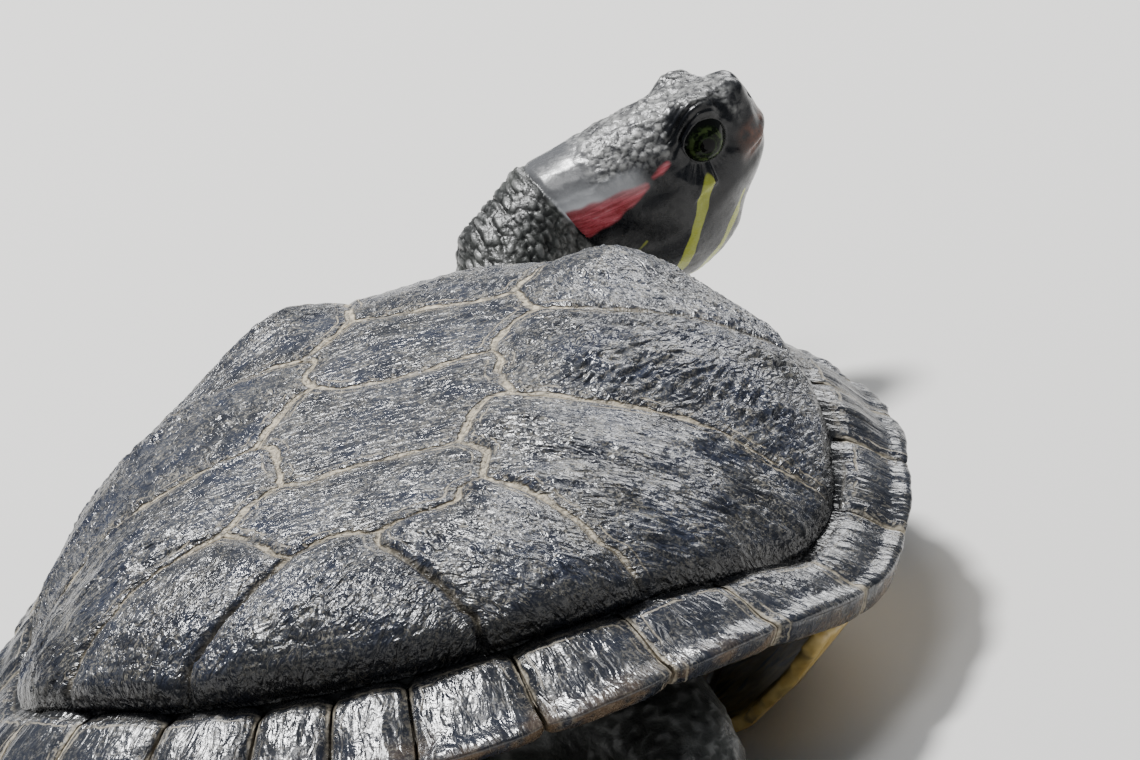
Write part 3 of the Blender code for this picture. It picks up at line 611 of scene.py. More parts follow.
def makeMarginal(start, end, seed):
    stations, around = rim["stations"], rim["around"]
    even = np.linspace(0, 1, stations)
    spread = 0.75 * (0.5 - 0.5 * np.cos(even * math.pi)) + 0.25 * even      # closer together near the seams
    trim = rim["gap"] / float(rimRadius(np.array(math.radians((start + end) / 2))))
    a, b = math.radians(start) + trim, math.radians(end) - trim
    angles = a + (b - a) * spread
    section = roundSection(rimCorners(angles), around)
    obj, ring, column = discSphere(around, stations)
    body = (ring > 0) & (ring <= stations)                 # all but the two end caps
    row = np.clip(ring - 1, 0, stations - 1)
    angle = angles[row]
    points = np.where(body[:, None], section[row, column], section[row].mean(1))
    setPoints(obj, points)
    outward(obj)
    normal = normalsOf(obj)
    toSeam = np.minimum(angles - a, b - angles)[row] * np.hypot(points[:, 0], points[:, 1] - shell["centreY"])
    toSeam = np.where(body, toSeam, 0)
    _, share = toPolar(points[:, 0], points[:, 1])
    topSide = smoothStep(normal[:, 2], -0.1, 0.35)
    toRing = (share - 1) * ringRadius(angle)
    fromSeam = angle * rimRadius(angle)
    rear = smoothStep(-points[:, 1], 0, 60 * mm)
    deep = 0.2 + 0.8 * smoothStep(-points[:, 1], 66 * mm, 92 * mm)
    streaks = np.stack([fromSeam, toRing * 0.16, 0 * toRing], -1)
    (streak, long), (scratch, thin), (lump, wide) = rim["streak"], rim["scratch"], rim["lump"]
    lift = rim["swell"] * np.sin(np.clip((angle - a) / (b - a), 0, 1) * math.pi) * topSide
    lift += topSide * (streak * layered(streaks, long, seed) + scratch * creases(streaks, thin, seed + 1)
                       + lump * noise(points, wide, seed + 2))
    lift -= deep * rim["grooveDepth"] * hill(toSeam, rim["grooveWidth"] * (0.8 + 0.5 * rear), 1.4)
    lift -= rim["ringDrop"] * smoothStep(toRing, 1.8 * mm, 0.0) ** 1.3 * topSide
    points = points + normal * np.where(body, lift, 0)[:, None]
    outer = smoothStep(share, 1.03, 1.16)
    pull = rim["notch"] * hill(toSeam, 3 * mm) * outer * rear + 0.3 * mm * noise(points, 6 * mm, 77) * outer
    outwards = np.stack([np.cos(angle), np.sin(angle), 0 * pull], -1)
    setPoints(obj, points - outwards * np.where(body, pull, 0)[:, None])
    keep(obj, edge=np.minimum(toSeam, np.maximum(toRing, 0) + 0.4 * mm) * 1000,
         ringEdge=smoothStep(toRing, 1.1 * mm, 0.3 * mm),
         muddy=0.2 + 0.7 * smoothStep(points[:, 1], -96 * mm, -80 * mm),
         under=smoothStep(share, 1.14, 1.22) * 0.5 + (1 - topSide))
    grainMap(obj, toRing * 100, fromSeam * 100 + seed)
    bpy.ops.object.shade_smooth()
    for face in obj.data.polygons:    # the end caps stay flat
        face.use_smooth = all(body[k] for k in face.vertices)
    return obj


rimHorn = hornFinish("rimHorn", (0.5, 0.44, 0.33), 0.4 * mm, worn=0.5)
spans = {"nuchal": (rim["seams"][-1], 180 - rim["seams"][-1])}
for index, (start, end) in enumerate(zip(rim["seams"], rim["seams"][1:])):
    spans[f"marginal_right_{12 - index}"] = (start, end)
    spans[f"marginal_left_{12 - index}"] = (180 - end, 180 - start)
for index, (name, (start, end)) in enumerate(spans.items()):
    settle(makeMarginal(start, end, 400 + index * 7), "scute_" + name, rimHorn, [name])
print("marginals made:", len(spans))


# underside: plastron scutes and bridges

belly = {
    "length": 184 * mm, "halfWidth": 47 * mm, "order": 2.6, "thickness": 5 * mm, "edgeRound": 3.2 * mm,
    "names": ["gular", "humeral", "pectoral", "abdominal", "femoral", "anal"],
    "cross": [91.9, 68, 44, 12, -26, -58, -87.9], "bows": [0, -5, 3, 2, -2, 7, 0],      # seams across, mm
    "notch": 4 * mm, "groove": (0.5 * mm, 0.6 * mm), "spacing": 1.1 * mm, "bottomRings": 3,
}


def bellyRadius(angle):
    radius = ovalRadius(angle, belly["halfWidth"], belly["length"] / 2, belly["order"])
    return radius - np.where(np.sin(angle) < 0, belly["notch"] * hill(np.cos(angle), 0.1), 0)


def bellyHalf(y):                     # half width of the plastron at y
    angles = np.linspace(-math.pi / 2, math.pi / 2, 800)
    reach = bellyRadius(angles)
    return np.interp(y, reach * np.sin(angles), reach * np.cos(angles))


def crossSeam(y, side, bow):          # from the midline out to the edge, bowed a little
    shares = np.linspace(0, 1, 60)
    line = np.stack([side * shares * bellyHalf(y + bow), y + bow * shares ** 2], -1)
    return evenly(line, belly["spacing"])


def makeBelly(name, ends, side, bows, seed):
    (front, rear), (frontBow, rearBow) = ends, bows
    edge = np.linspace(front + frontBow, rear + rearBow, 120)
    sides = [crossSeam(front, side, frontBow),
             evenly(np.stack([side * bellyHalf(edge), edge], -1), belly["spacing"]),
             crossSeam(rear, side, rearBow)[::-1],
             evenly(np.array([[0, rear], [0, front]], float), belly["spacing"])]
    outline = np.vstack([line[:-1] for line in sides])
    if side > 0:
        outline = outline[::-1]       # seen from below, so it runs the other way
    middle = (outline.min(0) + outline.max(0)) / 2
    shares = np.concatenate([np.linspace(0, 0.92, 22), [0.95, 0.97, 0.985, 0.995, 1.0]])
    top, bottom = len(shares) - 1, belly["bottomRings"]
    obj, ring, column = discSphere(len(outline), top + bottom)
    below = np.clip((top + bottom + 0.99 - ring) / bottom, 0, 1)
    share = np.where(ring > top, below, shares[np.minimum(ring, top)])
    share = np.where(ring == top + bottom + 1, 0, share)
    flat = middle + (outline[column] - middle) * share[:, None]
    angle = np.arctan2(flat[:, 1], flat[:, 0])
    toRim = np.maximum(bellyRadius(angle) - np.hypot(*flat.T), 0)
    toSeam = edgeDistance(flat, outline)
    inward = 1 - np.clip(toRim / belly["edgeRound"], 0, 1)
    place = np.column_stack([flat, 0 * angle])
    wear = 0.12 * mm * (1 - hill(toSeam, 6 * mm, 1)) * (1 + noise(place, 12 * mm, seed))
    rings = 0.05 * mm * (1 + np.sin(toSeam / (0.9 * mm) + noise(place, 10 * mm, seed + 1)))
    depth, width = belly["groove"]
    groove = depth * hill(toSeam, width, 1.5) * smoothStep(toRim, 1.5 * mm, 3 * mm)
    rounded = belly["edgeRound"] * (1 - np.sqrt(1 - inward ** 2))
    height = rounded + np.maximum(0, 0.2 * mm - wear) + rings + groove
    height = np.where(ring > top, belly["thickness"], np.minimum(height, belly["thickness"]))
    setPoints(obj, np.column_stack([flat, height]))
    outward(obj)
    keep(obj, edge=toSeam * 1000)
    grainMap(obj, flat[:, 0] * 100, flat[:, 1] * 100)
    bpy.ops.object.shade_smooth()
    return settle(obj, name, bellyHorn)


def copyOf(node, inflate=0.0):        # a merged copy of a solid, free of the frame
    obj = bpy.data.objects.new("copy_" + node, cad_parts[node].data.copy())
    bpy.context.scene.collection.objects.link(obj)
    outward(obj, mergeAt=0.02 * mm)
    setPoints(obj, pointsOf(obj) + normalsOf(obj) * inflate)
    return obj


def voxels(obj, size):
    modifier = obj.modifiers.new("skin", "REMESH")
    modifier.mode, modifier.voxel_size = "VOXEL", size
    pickOnly(obj)
    bpy.ops.object.modifier_apply(modifier=modifier.name)


def relax(obj, rounds, share=1.0, step=0.5, back=0.0):      # evens the surface; back undoes the shrinking
    pairs = np.empty(len(obj.data.edges) * 2, np.int32)
    obj.data.edges.foreach_get("vertices", pairs)
    a, b = pairs.reshape(-1, 2).T
    p = pointsOf(obj)
    weight = np.ones(len(p)) * share
    count = np.maximum(np.bincount(a, minlength=len(p)) + np.bincount(b, minlength=len(p)), 1)
    for turn in range(rounds):
        for pull in ([step, back] if back else [step]):
            total = [np.bincount(a, p[b, k], len(p)) + np.bincount(b, p[a, k], len(p)) for k in range(3)]
            p = p + (np.stack(total, -1) / count[:, None] - p) * (pull * weight)[:, None]
    setPoints(obj, p)


bridge = {"voxel": 0.8 * mm, "seams": (-36 * mm, 6 * mm, 32 * mm),
          "seamWidth": 0.7 * mm, "seamDepth": 0.45 * mm}


def makeBridge(side):
    obj = copyOf("bridge_" + side)
    voxels(obj, bridge["voxel"])
    relax(obj, 8, back=-0.5)
    p, n = pointsOf(obj), normalsOf(obj)
    groove = sum(hill(p[:, 1] - y, bridge["seamWidth"]) for y in bridge["seams"])
    lift = 0.25 * mm * layered(p, 8 * mm, 5) - bridge["seamDepth"] * groove
    setPoints(obj, p + n * lift[:, None])
    keep(obj, edge=5 - 4.5 * groove)
    grainMap(obj, p[:, 0] * 100, p[:, 1] * 100)
    bpy.ops.object.shade_smooth()
    settle(obj, "bridge_plate_" + side, bellyHorn, ["bridge_" + side])


def bellyFinish(name):
    t = Tree(name)
    edge, = t.values("edge")
    blotch = t.patches(0.5, 0.6, 70, 3, 0.5, 0.8) * t.between(edge, 1.0, 7.0)
    stain = t.between(t.noise(160, 4, on=t.scaled(t.place, (1, 6, 1))), 0.58, 0.75)
    colour = t.coats((0.42, 0.28, 0.075), (t.patches(0.35, 0.7, 240, 4), (0.58, 0.43, 0.16)),
                     (blotch * 0.93, (0.02, 0.018, 0.014)),
                     (t.between(edge, 1.0, 0.3) * 0.8, (0.1, 0.07, 0.04)),
                     (stain * 0.5, (0.2, 0.15, 0.09)))
    height = t.noise(600, 4) * 0.5 + t.noise(220, 4, on=t.scaled(t.place, (1, 5, 1))) * 0.5
    return t.feed(Base_Color=colour, Roughness=0.3 + t.noise(300, 3) * 0.25, bump=(height, 0.35, 0.6 * mm))


bellyHorn = bellyFinish("bellyHorn")
for index, name in enumerate(belly["names"]):
    ends = [y * mm for y in belly["cross"][index:index + 2]]
    bows = [bow * mm for bow in belly["bows"][index:index + 2]]
    for sideName, side in (("right", 1), ("left", -1)):
        made = makeBelly(f"scute_{name}_{sideName}", ends, side, bows, 700 + index)
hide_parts("plastron")
for side in ("left", "right"):
    makeBridge(side)
print("underside made")


# skin: one surface over all the flesh

flesh = ["trunk", "neck", "head", "lower_jaw", "tail"]
for side in ("left", "right"):
    flesh += [f"{part}_{side}" for part in ("front_leg", "front_foot", "hind_leg", "hind_foot")]
head = {                              # mm and degrees; places and sizes in the head's own axes
    "origin": Vector((30.3, 147.3, 55.8)) * mm, "turn": -66, "pitch": 4.5, "roll": 7.2,
    "eye": (5.8, 0.1, -1.2), "eyeRadius": 5.4, "gaze": (1, 0.2, -0.03), "look": (1, 0.06, -0.06),
    "brow": (6.0, 0.7, 0.1), "browSize": (5.3, 6.0, 7.4),
    "mouth": ([-7, -5, 0, 5, 9, 11.5, 13.6], [-12.2, -11.2, -9.9, -8.9, -8.2, -7.8, -6.4]),      # along, up
    "lips": [(0.45, 1.2, 1.3), (-0.75, 0, 0.42), (-0.35, -1.5, 1.4)],      # push, height, width
    "forms": [                                             # push, place, size
        (-0.7, (6.4, 8.6, 0.5), (2.4, 2.2, 3.2)),          # hollow in front of the eye
        (0.7, (11, -13, -16), (4, 9, 8)),                  # cheek
        (-0.6, (11.5, -12, -5.5), (3, 6, 2.6)),            # hollow above it
        (0.45, (2.0, 11.0, 3.6), (2.4, 2.2, 2.0)),         # tip of the nose
        (0.3, (0, -18, 5), (7, 12, 3)),                    # back of the crown
        (-0.5, (0, 2, 6.5), (2.2, 7, 3)),                  # the forehead dips between the brows
        (-1.2, (4.6, 6.4, 3.4), (4.0, 1.5, 3.4)),          # and ahead of them
        (0.6, (2.8, 9.6, 3.0), (3.2, 2.3, 2.6)),           # bridge of the nose
        (-1.5, (3, 3.0, -17.5), (8, 5.5, 5.5)),            # chin
        (-0.5, (3.5, 12.8, -2.0), (3, 2, 3.5)),            # front of the beak
        (-0.9, (1.35, 13.2, 0.4), (0.65, 1.2, 0.6)),       # nostrils
    ],
}
headPlace = Matrix.Translation(head["origin"])
for degrees, axis in ((head["turn"], "Z"), (head["pitch"], "X"), (head["roll"], "Y")):
    headPlace = headPlace @ Matrix.Rotation(math.radians(degrees), 4, axis)
feet = {
    "front_foot": {"heel": (50.5, 90), "heading": -4, "length": 17, "width": 19, "toes": 5, "claw": 8.5},
    "hind_foot": {"heel": (57, -80), "heading": -158, "length": 30, "width": 26, "toes": 4, "claw": 7},
}
sides = (("right", 1), ("left", -1))


def footPlace(spec, side):
    heel = Vector((side * spec["heel"][0], spec["heel"][1], 0)) * mm
    return Matrix.Translation(heel) @ Matrix.Rotation(math.radians(side * spec["heading"]), 4, "Z")


def toesOf(spec):                     # share of the half width for each toe, from one side to the other
    return [(toe / (spec["toes"] - 1) - 0.5) * 0.8 for toe in range(spec["toes"])]


def into(matrix, points):             # points in the axes of a placing matrix, in mm
    m = np.array(matrix.inverted())
    return (points @ m[:3, :3].T + m[:3, 3]) * 1000


def outOf(matrix, points):
    m = np.array(matrix)
    return points * mm @ m[:3, :3].T + m[:3, 3]


def folded(q, depth=1):               # both halves of the head as one
    return np.column_stack([np.abs(q[:, 0]) * depth, q[:, 1], q[:, 2]])


def trimClaws(obj, spec, side):       # draws the claws of the solid back into the toes
    place = footPlace(spec, side)
    p = into(place, pointsOf(obj))
    p[:, 1] = np.minimum(p[:, 1], spec["length"] * (0.97 - 0.5 * (p[:, 0] / spec["width"]) ** 2))
    setPoints(obj, outOf(place, p))


def makeFlesh():
    bodies = [copyOf(node, 0.35 * mm) for node in flesh]
    for node, obj in zip(flesh, bodies):
        if "foot" in node:
            trimClaws(obj, feet[node.rsplit("_", 1)[0]], 1 if node.endswith("right") else -1)
    for _, side in sides:
        brow = addSphere(48, 24)
        shape = pointsOf(brow) * head["browSize"] + np.array(head["brow"]) * (side, 1, 1)
        setPoints(brow, outOf(headPlace, shape))
        bodies.append(brow)
    pickOnly(bodies[0])
    for obj in bodies:
        obj.select_set(True)
    bpy.ops.object.join()
    obj = bpy.context.object
    voxels(obj, 1.8 * mm)
    relax(obj, 2, back=-0.52)
    return obj


def editWhere(obj, test, operator, **settings):      # an operator on the faces whose middles pass the test
    chosen = test(threes(obj.data.polygons, "center"))
    pickOnly(obj)
    bpy.ops.object.mode_set(mode="EDIT")
    bpy.ops.mesh.select_mode(type="FACE")
    bpy.ops.mesh.select_all(action="DESELECT")
    bpy.ops.object.mode_set(mode="OBJECT")
    obj.data.polygons.foreach_set("select", chosen)
    bpy.ops.object.mode_set(mode="EDIT")
    operator(**settings)
    bpy.ops.object.mode_set(mode="OBJECT")


def onLimbs(p):                       # feet, end of the tail, and the neck
    x, y, z = p.T
    onFeet = ((y > 84 * mm) | (y < -74 * mm)) & (z < 18 * mm) & (np.abs(x) > 34 * mm)
    return onFeet | (y < -88 * mm) & (np.abs(x) < 30 * mm) | onNeck(p)


def onNeck(p):                        # the part in front of the shell, and the head
    x, y, z = p.T
    return (y > 96 * mm) & (x > -30 * mm) & ((np.abs(x) < 22 * mm) | onHead(p)) & (z > 8 * mm)


def onHead(p, back=-36):
    x, y, z = folded(into(headPlace, p)).T
    return (y > back) & (x < 16) & (z > -36) & (z < 14)


def nearEyes(p):
    x, y, z = folded(into(headPlace, p)).T
    return (np.abs(x - head["eye"][0]) < 8) & (np.hypot(y, z) < 7.5) & (x > 4)


def underShell(p):
    _, share = toPolar(p[:, 0], p[:, 1])
    return (share < 0.86) & (p[:, 2] > 11 * mm) & (np.abs(p[:, 1]) < 72 * mm)


def mouthLine(along):                 # height of the mouth at a place along the head
    return np.interp(along, *head["mouth"])


def shapeHead(obj):                   # snout, cheeks, jaw and beak, pushed and pulled in head axes
    q = into(headPlace, pointsOf(obj))
    f = folded(q)
    push = sum(depth * np.exp(-(((f - place) / size) ** 2).sum(-1)) for depth, place, size in head["forms"])
    overMouth = f[:, 2] - mouthLine(f[:, 1])
    lips = sum(depth * hill(overMouth - height, width) for depth, height, width in head["lips"])
    push += smoothStep(f[:, 1], -6.5, -3.5) * lips
    push *= smoothStep(q[:, 1], -38, -30) * (f[:, 0] < 17) * (q[:, 2] > -38)
    setPoints(obj, outOf(headPlace, q + normalsOf(obj) @ np.array(headPlace.to_3x3()) * push[:, None]))


lids = {                              # mm and degrees from the lid's edge outwards
    "angle": 54, "oval": (2.5, 0.4), "ragged": (1.6, 2.5 * mm), "roll": (0.22, 0.2, 1.6 * mm), "rollWidth": 9,
    "folds": [(-0.6, 11, 1.9), (-0.5, 22, 2.1), (-0.22, 33, 3)], "crest": (0.1, 16, 3.0), "deepest": 2.2,
    "reach": 9.5, "wide": 110, "blend": (8, 26),
}


def shapeLids(obj):                   # opens the skin over each eyeball and rolls its lids
    p = into(headPlace, pointsOf(obj))
    calm = np.zeros(len(p))
    radius = head["eyeRadius"]
    for _, side in sides:
        centre, gaze = (np.array(head[key]) * (side, 1, 1) for key in ("eye", "gaze"))
        v = p - centre
        r = np.linalg.norm(v, axis=1)
        away = np.maximum(r, 1e-6)
        theta = np.degrees(np.arccos(np.clip((v @ (gaze / np.linalg.norm(gaze))) / away, -1, 1)))
        around = np.arctan2(v[:, 2], v[:, 1])      # 0 ahead of the eye, a quarter turn above it
        (oval, tilt), (ragged, size), (thick, uneven, small) = lids["oval"], lids["ragged"], lids["roll"]
        outer = theta - lids["angle"] - oval * np.cos(2 * around - tilt) - ragged * noise(p * mm, size, 51)
        hollow = radius - 0.05 - 1.6 * smoothStep(-outer, 0, 7)
        roll = np.sin(np.clip(outer / lids["rollWidth"], 0, 1) * math.pi) ** 0.8
        rolled = radius + 0.1 + (thick + uneven * noise(p * mm, small, 52)) * roll
        rolled += smoothStep(outer, 2, 9) * np.maximum(r - 0.7 - rolled, 0)      # drawn in no further
        upper = 0.55 + 0.45 * np.cos(around - lids["deepest"])      # the folds are deepest above and behind
        folds = sum(depth * upper * hill(outer - at, width) for depth, at, width in lids["folds"])
        high, at, width = lids["crest"]
        folds += high * hill(outer - at, width)
        blend = smoothStep(outer, *lids["blend"])
        skin = rolled * (1 - blend) + r * blend + folds * smoothStep(outer, 5, 9)
        shaped = np.where(outer < 0, hollow, skin)
        new = r + (shaped - r) * (1 - smoothStep(theta, 96, 108))
        near = (r < lids["reach"]) & (theta < lids["wide"])
        p = np.where(near[:, None], centre + v * (new / away)[:, None], p)
        below = smoothStep(outer, 6, 11) * smoothStep(upper, 0.95, 0.7)
        calm = np.maximum(calm, below * smoothStep(r, 12, 10) * (theta < 125))
    setPoints(obj, outOf(headPlace, p))
    relax(obj, 16, share=calm, step=0.6)


hide = {                              # height and size of the relief of the skin
    "knobs": (0.62 * mm, 1.7 * mm), "plates": (0.26 * mm, 1.6 * mm), "scales": (0.45 * mm, 2.9 * mm),
    "foldSpacing": 3.3 * mm, "foldDepth": 0.7 * mm, "collar": 0.8 * mm, "edgeDepth": 0.55 * mm,
}


def shapeSkin(obj):                   # folds of the neck, scales of the limbs
    p, n = pointsOf(obj), normalsOf(obj)
    q = into(headPlace, p)
    behind = -31.6 - 0.40 * q[:, 2] - q[:, 1] + 0.6 * noise(p, 7 * mm, 4)      # mm behind the loose edge
    neckPart = smoothStep(p[:, 1], 74 * mm, 90 * mm) * smoothStep(np.abs(p[:, 0]), 26 * mm, 20 * mm)
    neckPart = neckPart * smoothStep(behind, 0, 1.0)
    along = q[:, 1] * mm + 1.1 * mm * noise(p, 9 * mm, 3)
    fold = np.abs(np.sin(along / hide["foldSpacing"] * math.pi))
    grooves = smoothStep(fold, 0.42, 0.0) * (0.35 + 0.65 * smoothStep(noise(p, 8 * mm, 12), -0.2, 0.3))
    high, size = hide["knobs"]
    knobs = pebbles(np.column_stack([p[:, 0] * 0.85, along, p[:, 2] * 0.85]), size, 2)
    lift = neckPart * (hide["collar"] + high * (knobs - 0.6) - hide["foldDepth"] * grooves
                       + 0.25 * mm * noise(p, 8 * mm, 13))
    headArea = smoothStep(behind, 0, -0.8) * smoothStep(q[:, 1], -40, -34)
    headArea = headArea * smoothStep(np.linalg.norm(q, axis=1), 56, 50)      # not the leg below it
    lift -= headArea * hide["edgeDepth"] * hill(behind, 1.1)
    fromEye = np.linalg.norm(folded(q) - head["eye"], axis=1)
    crown = headArea * smoothStep(q[:, 2], -2.6, 0.8) * smoothStep(q[:, 1], -24.5, -20.5)
    crown = crown * smoothStep(q[:, 1], 11.5, 6) * smoothStep(fromEye, 7.3, 8.6)
    high, size = hide["plates"]
    plates = pebbles(p + 0.5 * mm * np.stack([noise(p, 2.5 * mm, k) for k in (61, 62, 63)], -1), size, 5)
    lift += crown * (high * (plates - 0.75) + 0.35 * mm * creases(p, 3.2 * mm, 15))
    high, size = hide["scales"]
    scales = pebbles(p * (1, 1, 1.3), size, 8)
    lift += (1 - headArea) * (1 - neckPart) * (high * (scales - 0.6) + 0.5 * mm * noise(p, 10 * mm, 9)
                                               - 0.4 * mm * creases(p * (0.5, 1, 0.5), 8 * mm, 10))
    p = p + n * lift[:, None]
    p[:, 2] = np.maximum(p[:, 2], 0)
    setPoints(obj, p)
    keep(obj, headArea=headArea, crown=crown,
         scale=np.where(neckPart > 0.5, knobs * (1 - 0.8 * grooves), np.where(crown > 0.3, plates, scales)))
    return headArea


toeForm = {"height": 2.0, "width": 1.9, "web": 0.7}        # mm


def shapeToes(obj):                   # ridges for the toes with webs between
    p = pointsOf(obj)
    for spec in feet.values():
        length, width = spec["length"], spec["width"]
        for _, side in sides:
            place = footPlace(spec, side)
            q = into(place, p)
            x, y, z = q.T
            inside = (y > 1) & (y < length * 1.2) & (np.abs(x) < width * 0.75) & (z < 12)
            ridge = np.zeros(len(q))
            for share in toesOf(spec):
                tip = np.array([share * width, length * (0.95 - 0.5 * share * share)])
                root = np.array([share * width * 0.35, length * 0.12])
                line = tip - root
                t = np.clip(((q[:, :2] - root) @ line) / (line @ line), 0, 1.1)
                gap = np.linalg.norm(q[:, :2] - root - t[:, None] * line, axis=1)
                ridge = np.maximum(ridge, toeForm["height"] * hill(gap, toeForm["width"]))
            q[:, 2] += (ridge - toeForm["web"]) * smoothStep(y, 1, 7) * smoothStep(z, 0.6, 2.0) * inside
            p = np.where(inside[:, None], outOf(place, q), p)
    setPoints(obj, p)


stripes = {                           # lines on the head in its axes: (across, along, up, half width) in mm
    "yellow": [
        [(10.6, -1.0, -7.5, 1.4), (11.2, -3.4, -11, 1.3), (11, -6.8, -16, 1.3), (9.6, -11.8, -24.4, 1.35),
         (6, -18, -30, 1.2)],
        [(6.2, 5.0, -16.0, 0.5), (6.2, 2.8, -18.8, 0.85), (5.8, -1.2, -22.6, 0.9), (4.5, -8, -28.5, 0.9),
         (3, -20, -31, 0.8)],
        [(1.6, 9.5, -14.5, 0.35), (1.8, 3, -21, 0.5), (1.5, -6, -29, 0.6)],
        [(12.4, -17, -14, 0.3), (12.2, -22, -17, 0.5), (11.5, -31, -19, 0.6)]],
    "red": [
        [(10.4, -8.0, -1.9, 0.5), (10.8, -9.8, -2.5, 0.95), (11.0, -11.4, -2.9, 0.5)],
        [(11.3, -13.4, -3.9, 0.8), (12, -18, -4.7, 1.9), (12, -23, -5.3, 2.8), (11.6, -29, -5.8, 3.2),
         (11.4, -34, -6.2, 2.8)]],
    "depth": 0.6,                     # depth counts for less, so that a stripe reaches round the head
}


def stripeField(q, lines):            # mm outside the nearest stripe, below 0 inside it
    f = folded(q, stripes["depth"])
    best = np.full(len(f), 20.0)
    for line in lines:
        line = np.array(line) * (stripes["depth"], 1, 1, 1)
        for a, b in zip(line, line[1:]):
            d = b[:3] - a[:3]
            t = np.clip(((f - a[:3]) @ d) / (d @ d), 0, 1)
            gap = np.linalg.norm(f - a[:3] - t[:, None] * d, axis=1) - (a[3] + (b[3] - a[3]) * t)
            best = np.minimum(best, gap)
    return best


def makeSkin():
    obj = makeFlesh()
    editWhere(obj, underShell, bpy.ops.mesh.decimate, ratio=0.2)      # fewer faces where the shell hides it
    for test in (onLimbs, onNeck):
        editWhere(obj, test, bpy.ops.mesh.subdivide, number_cuts=1, smoothness=0)
    relax(obj, 8, share=onLimbs(pointsOf(obj)), back=-0.505)
    shapeHead(obj)
    editWhere(obj, nearEyes, bpy.ops.mesh.subdivide, number_cuts=1, smoothness=0)
    relax(obj, 3, share=onHead(pointsOf(obj), -30), back=-0.48)
    shapeLids(obj)
    shapeToes(obj)
    headArea = shapeSkin(obj)
    p = pointsOf(obj)
    q = into(headPlace, p)
    along, up = q[:, 1], q[:, 2]
    outside = 20 * (1 - headArea)
    # painted highlight: the band is a near-white streak on the side of the head behind the eye, brightest
    # just above the red stripe, with a weaker part reaching further forward
    highlightTongue = smoothStep(along, -11, -17) * smoothStep(up, 1.0, -1.2) * smoothStep(up, -5.4, -3.6)
    glow = 0.1 + 0.9 * hill(up + 3.0, 2.3)
    bandHighlight = smoothStep(along, -17.5, -24) * smoothStep(up, -6.4, -4.6) * glow
    beak = smoothStep(along, 5.5, 10) * smoothStep(np.abs(up - mouthLine(along) - 2.2), 4.2, 2.0)
    keep(obj, yellowGap=stripeField(q, stripes["yellow"]) + outside + 0.3 * noise(p, 3 * mm, 6),
         redGap=stripeField(q, stripes["red"]) + outside + 0.4 * noise(p, 3 * mm, 7),
         # painted highlight: the red stripe is painted paler towards its upper edge, behind the eye
         redRise=(up + 5.0 + 0.1 * (along + 20)) * smoothStep(along, -11, -14),
         beak=headArea * beak, band=headArea * np.maximum(bandHighlight, 0.6 * highlightTongue))
    grainMap(obj, along / 10, up / 10)
    bpy.ops.object.shade_smooth()
    return settle(obj, "skin", skinFinish(), flesh)


# painted light among these: the scale top, crown top, band and red top colours are painted highlights, and
# the two crease colours are painted shade
hues = {
    "skin": (0.022, 0.023, 0.022), "skinPale": (0.05, 0.053, 0.048), "scaleHighlight": (0.26, 0.262, 0.255),
    "shadeInCreases": (0.008, 0.008, 0.008), "face": (0.004, 0.0045, 0.006), "facePale": (0.008, 0.009, 0.012),
    "crownCreaseShade": (0.045, 0.045, 0.048), "crownHighlight": (0.31, 0.31, 0.3), "band": (0.84, 0.85, 0.87),
    "beak": (0.13, 0.045, 0.022), "red": (0.38, 0.04, 0.05), "redBright": (0.66, 0.12, 0.15),
    "redPale": (0.62, 0.33, 0.35), "redHighlight": (0.55, 0.4, 0.41), "yellow": (0.42, 0.44, 0.06),
    "yellowDark": (0.27, 0.31, 0.03),
}


def skinFinish():
    t = Tree("skinFinish", IOR=1.43)
    isHead, crown, band, beak, scale = t.values("headArea", "crown", "band", "beak", "scale")
    redGap, redRise, yellowGap = t.values("redGap", "redRise", "yellowGap")
    broad = t.patches(0.35, 0.7, 90, 4)
    fine, lumps = t.noise(900, 4, 0.6), t.noise(520, 2, 0.5, 0.5)
    streak = t.noise(1.5, 4, 0.6, 0.5, on=t.grain((1.2, 9, 1), (0, 0, 0.12)))
    # painted highlight on the tops of the scales and knobs, painted shade in the creases and neck folds
    # between them
    body = t.coats(hues["skin"], (broad, hues["skinPale"]),
                   (t.between(scale, 0.45, 0.9) * 0.42, hues["scaleHighlight"]),
                   (t.between(scale, 0.4, 0.05), hues["shadeInCreases"]))
    # painted highlight on the tops of the crown's scales, painted shade in the creases between them
    plates = t.mix(t.between(scale + fine * 0.7 - 0.35, 0.1, 1.0), hues["crownCreaseShade"], hues["crownHighlight"])
    # the last coat of the red is a painted highlight towards its upper edge
    blush = t.coats(hues["red"], (t.between(streak, 0.38, 0.6), hues["redBright"]),
                    (t.between(streak, 0.56, 0.7) * 0.6, hues["redPale"]),
                    (t.between(redRise, 0.4, 2.8) * 0.6, hues["redHighlight"]))
    # the band coat is a painted highlight
    face = t.coats(hues["face"], (broad, hues["facePale"]), (crown * 0.9, plates), (band, hues["band"]),
                   (beak * t.patches(0.35, 0.6, 260, 3) * 0.85, hues["beak"]),
                   (t.between(redGap, 0.3, -0.5) * 0.95, blush),
                   (t.between(yellowGap, 0.12, -0.18), t.mix(fine, hues["yellow"], hues["yellowDark"])))
    rough = 0.3 + t.between(fine, 0.4, 0.7) * 0.16 - isHead * 0.08
    height = (lumps * 0.45 + fine * 0.3) * (1 - isHead * (1 - crown) * 0.85)
    return t.feed(Base_Color=t.mix(isHead, body, face), Roughness=rough.clamp(), bump=(height, 0.8, 0.8 * mm))


skin = makeSkin()
print("skin made:", len(skin.data.polygons), "faces")


# eyes: the rings are in degrees from the middle of the pupil

